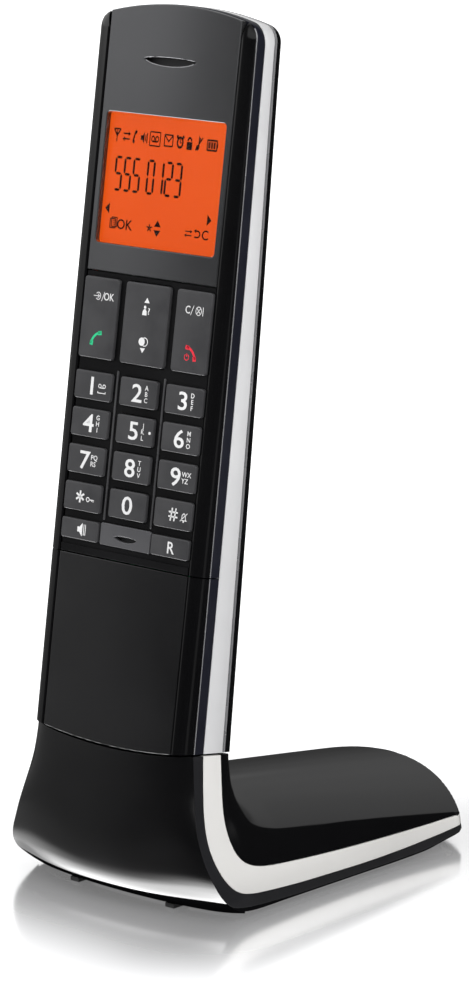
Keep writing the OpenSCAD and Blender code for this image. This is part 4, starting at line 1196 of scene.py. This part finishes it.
cover = []
for (e, o) in zip(linR, ov):
    ye, ze = e
    yr, zr, bl = o
    bl = max(0, min(1, bl))
    L = math.hypot(yr - ye, zr - ze)
    k0 = 0.08 / L if L > 0.5 else 0.01
    ye, ze = ye + (yr - ye) * k0, ze + (zr - ze) * k0
    xe = wz(ze)
    row = []
    for k in range(-NP, NP + 1):
        q = math.sin(k * math.pi / 2 / NP)
        fu = max(0.0, 1 - abs(q) ** 9) ** 0.5
        if bl > 0:
            x = xe * q
            hc = zr - x * x / 112
            hs = zside(abs(x)) if abs(q) < 1 else ze
            hh = smin(hc, min(hs, hc + 6), 1.5)
            ff = max(0.0, (hh - ze) / (zr - ze)) if abs(q) < 1 else 0.0
            fr = fu * (1 - bl) + ff * bl
        else:
            fr = fu
        row.append((xe * q, ye + (yr - ye) * fr, ze + (zr - ze) * fr))
    cover.append(row)
cover[0] = [(x, y, seam_z(min(22, abs(x)), y)) for (x, y, z) in cover[0]]
ze = -73.07
for i in range(1, NRP):
    px, py = rear_pt(i, ze)
    row = []
    for k in range(-NP, NP + 1):
        q = math.sin(k * math.pi / 2 / NP)
        if abs(k) == NP:
            row.append((px * q, py, ze))
            continue
        x = px * q
        hc = ztop(py) - x * x / 112
        hh = smin(smin(hc, zside(abs(x)), 1.2), zrear(x, py), 1.0)
        row.append((x, py, max(ze + 0.002, hh)))
    cover.append(row)
g = [[B(*p) for p in row] for row in cover]


def cover_out(p):
    return (p[0] * 20, (p[1] - 0.02) * 12 if p[1] > 0.02 else 0.25, 1.0 if p[2] < 0.024 else 0.2)


v, f = shell(g, 1.4, cover_out)
top = add("base_top_cover_skin", v, f, M["rear"], "base", "rear_black", ("base_top_cover",), angle=60, bevel=0.10, segs=2)

# ------------------------------------------------------------------ materials on the carried-over CAD nodes
cad = {"keypad_mat": "mat", "handset_pcb": "pcb", "rf_shield": "steel", "earpiece": "inner", "microphone": "steel", "ringer": "inner",
       "aaa_cells": "cell", "battery_contacts": "steel", "charging_tongue": "inner", "handset_contacts": "brass", "handset_screws": "steel",
       "base_bottom_plate": "inner", "cradle_well": "inner", "charge_pin_left": "brass", "charge_pin_right": "brass", "base_pcb": "pcb",
       "line_jack": "ivory", "power_jack": "inner", "page_button": "key", "base_feet": "rubber", "base_screws": "steel", "base_antennas": "brass"}
for n, mname in cad.items():
    ob = frame["nodes"][n]
    ob.data.materials.clear()
    ob.data.materials.append(M[mname])

# ------------------------------------------------------------------ stage and light
def stage_plane(name, size, loc, mat):
    me = bpy.data.meshes.new(name)
    h = size / 2
    me.from_pydata([(-h, -h, 0), (h, -h, 0), (h, h, 0), (-h, h, 0)], [], [(0, 1, 2, 3)])
    ob = bpy.data.objects.new(name, me)
    ob.location = loc
    me.materials.append(mat)
    col.objects.link(ob)
    return ob


fm, nt, p = new_mat("floor_pale")
p.inputs["Base Color"].default_value = (0.55, 0.55, 0.56, 1)
p.inputs["Roughness"].default_value = 0.6
p.inputs["Specular IOR Level"].default_value = 0.0
geo = nt.nodes.new("ShaderNodeNewGeometry")


def vm(op, a_, b_=None):
    n = nt.nodes.new("ShaderNodeVectorMath")
    n.operation = op
    nt.links.new(a_, n.inputs[0])
    if b_ is not None:
        n.inputs[1].default_value = b_
    return n


def mrange(src, a0, a1, b0, b1):
    n = nt.nodes.new("ShaderNodeMapRange")
    n.interpolation_type = "SMOOTHSTEP"
    for k_, v_ in (("From Min", a0), ("From Max", a1), ("To Min", b0), ("To Max", b1)):
        n.inputs[k_].default_value = v_
    nt.links.new(src, n.inputs["Value"])
    return n.outputs["Result"]


far = vm("LENGTH", geo.outputs["Position"]).outputs["Value"]
near = vm("LENGTH", vm("MAXIMUM", vm("SUBTRACT", vm("ABSOLUTE", geo.outputs["Position"]).outputs["Vector"], (0.026, 0.044, 0)).outputs["Vector"], (0, 0, 0)).outputs["Vector"]).outputs["Value"]
grain_ = noise(nt, 900, 2.0)
nt.links.new(ramp(nt, grain_.outputs["Fac"], 0.58, 0.62), p.inputs["Roughness"])
p.inputs["Emission Color"].default_value = (1, 1, 1, 1)
nt.links.new(mrange(far, 0.10, 0.45, 0.78, 1.0), p.inputs["Emission Strength"])
gl = nt.nodes.new("ShaderNodeBsdfGlossy")
gl.inputs["Color"].default_value = (0.98, 0.98, 0.985, 1)
gl.inputs["Roughness"].default_value = 0.16
mx = nt.nodes.new("ShaderNodeMixShader")
nt.links.new(mrange(near, 0.002, 0.062, 0.80, 0.0), mx.inputs[0])
nt.links.new(p.outputs[0], mx.inputs[1])
nt.links.new(gl.outputs[0], mx.inputs[2])
outn = [n for n in nt.nodes if n.bl_idname == "ShaderNodeOutputMaterial"][0]
nt.links.new(mx.outputs[0], outn.inputs[0])
floor = stage_plane("floor", 40, (0, 0, 0), fm)
floor.visible_glossy = False

wd = bpy.data.worlds.new("world")
scn.world = wd
wd.use_nodes = True
wn = wd.node_tree
bg = wn.nodes["Background"]
L_ = wn.links.new


def mth(op, a, b2=None, clamp=False):
    n = wn.nodes.new("ShaderNodeMath")
    n.operation = op
    n.use_clamp = clamp
    for i, q in enumerate((a, b2)):
        if q is None:
            continue
        if isinstance(q, (int, float)):
            n.inputs[i].default_value = q
        else:
            L_(q, n.inputs[i])
    return n.outputs[0]


def band(src, c, hw, soft):
    """1 within hw of c, fading over soft"""
    d = mth("ABSOLUTE", mth("SUBTRACT", src, c))
    n = wn.nodes.new("ShaderNodeMapRange")
    n.interpolation_type = "SMOOTHSTEP"
    n.inputs["From Min"].default_value = hw
    n.inputs["From Max"].default_value = hw + soft
    n.inputs["To Min"].default_value = 1
    n.inputs["To Max"].default_value = 0
    L_(d, n.inputs["Value"])
    return n.outputs["Result"]


def ramp_w(src, pts):
    """piecewise smooth value of src, pts (position, value)"""
    n = wn.nodes.new("ShaderNodeValToRGB")
    lo_, hi_ = pts[0][0], pts[-1][0]
    el = n.color_ramp.elements
    n.color_ramp.interpolation = "EASE"
    while len(el) < len(pts):
        el.new(0.5)
    for e, (pp, vv) in zip(el, pts):
        e.position = (pp - lo_) / (hi_ - lo_)
        e.color = (vv, vv, vv, 1)
    mr = wn.nodes.new("ShaderNodeMapRange")
    mr.inputs["From Min"].default_value = lo_
    mr.inputs["From Max"].default_value = hi_
    L_(src, mr.inputs["Value"])
    L_(mr.outputs["Result"], n.inputs["Fac"])
    return n.outputs["Color"]


tcw = wn.nodes.new("ShaderNodeTexCoord")
sp = wn.nodes.new("ShaderNodeSeparateXYZ")
L_(tcw.outputs["Generated"], sp.inputs[0])
deg = 180 / math.pi
az = mth("MULTIPLY", mth("ARCTAN2", sp.outputs[0], sp.outputs[1]), deg)      # 0 to the rear, 90 to the right
el = mth("MULTIPLY", mth("ARCSINE", sp.outputs[2]), deg)
# rear left and overhead panel, mirrored in the top of the foot and in the floor
footp = mth("MULTIPLY", band(az, -51, 38, 4), ramp_w(el, [(-90, 0), (-14, 0.02), (-4, 0.045), (2, 0.09), (8, 0.17), (14, 0.30), (20, 0.42), (26, 0.54), (34, 0.66), (50, 0.8), (65, 0.6), (90, 0.35)]))
floorp = mth("MULTIPLY", band(az, -52, 12, 4), ramp_w(el, [(-90, 0), (11, 0), (15, 0.62), (34, 0.5), (44, 0), (90, 0)]))
# the rest of the room: high panels to the front and right, and the pale floor seen by the rear faces
ring = mth("MULTIPLY", mth("MAXIMUM", band(az, 122, 60, 10), band(az, -180, 20, 10)), ramp_w(el, [(-90, 0), (11, 0), (17, 0.85), (34, 0.85), (46, 0.6), (60, 0.45), (90, 0.3)]))
lowrear = mth("MULTIPLY", band(az, 0, 80, 25), ramp_w(el, [(-90, 1.5), (-55, 1.5), (-38, 1.2), (-29, 0.5), (-22, 0), (90, 0)]))
rearp = mth("ADD", mth("ADD", footp, floorp), mth("ADD", ring, lowrear))
# front left panel, mirrored in the face of the handset
fronta = mth("MULTIPLY", band(az, -112, 24, 7), ramp_w(el, [(-90, 0.0), (-9, 0.12), (-4, 0.30), (0, 0.34), (3, 0.50), (8, 1.3), (20, 1.5), (60, 0.6), (90, 0.3)]))
frontb = mth("MULTIPLY", band(az, -112, 24, 50), ramp_w(el, [(-90, 0.0), (-36, 0.2), (-22, 0.24), (-14, 0.22), (-5, 0.02), (10, 0.05), (90, 0.1)]))


def toward(a_, e_):
    """cosine to one direction"""
    x_, y_, z_ = math.cos(math.radians(e_)) * math.sin(math.radians(a_)), math.cos(math.radians(e_)) * math.cos(math.radians(a_)), math.sin(math.radians(e_))
    return mth("ADD", mth("ADD", mth("MULTIPLY", sp.outputs[0], x_), mth("MULTIPLY", sp.outputs[1], y_)), mth("MULTIPLY", sp.outputs[2], z_))


# low reflector in front, caught by the rolled under edge of the skirt
lowp = ramp_w(toward(-122, -60), [(-1, 0), (0.755, 0.0), (0.83, 0.14), (0.89, 0.5), (0.95, 1.0), (1, 1.0)])
slim = mth("MULTIPLY", band(az, 118, 5, 6), ramp_w(el, [(-90, 0), (-15, 0.05), (0, 0.3), (40, 0.4), (60, 0.2), (90, 0.1)]))
tot = mth("ADD", mth("ADD", mth("ADD", rearp, fronta), mth("ADD", frontb, mth("MULTIPLY", lowp, 12.0))), mth("ADD", slim, 0.018))
lp = wn.nodes.new("ShaderNodeLightPath")
mixw = wn.nodes.new("ShaderNodeMix")
mixw.data_type = "FLOAT"
L_(lp.outputs["Is Camera Ray"], mixw.inputs["Factor"])
L_(tot, mixw.inputs["A"])
mixw.inputs["B"].default_value = 1.0
L_(mixw.outputs["Result"], bg.inputs["Strength"])
bg.inputs["Color"].default_value = (1, 1, 1, 1)


def area(name, loc, target, size, power, size_y=None, color=(1, 1, 1), gloss=False):
    ld = bpy.data.lights.new(name, "AREA")
    ld.energy = power
    ld.color = color
    ld.shape = "RECTANGLE"
    ld.size = size
    ld.size_y = size_y or size
    ob = bpy.data.objects.new(name, ld)
    col.objects.link(ob)
    ob.location = loc
    d = Vector(target) - Vector(loc)
    ob.rotation_euler = d.to_track_quat("-Z", "Y").to_euler()
    ob.visible_glossy = gloss
    return ob


area("right_softbox", (1.3, -0.35, 0.7), (0, 0, 0.08), 0.9, 15.0)
area("top_softbox", (0.0, -0.1, 2.0), (0, 0.02, 0.05), 1.8, 22.0)
area("left_front_softbox", (-0.36, -0.42, 0.34), (0, -0.02, 0.15), 0.22, 0.6)
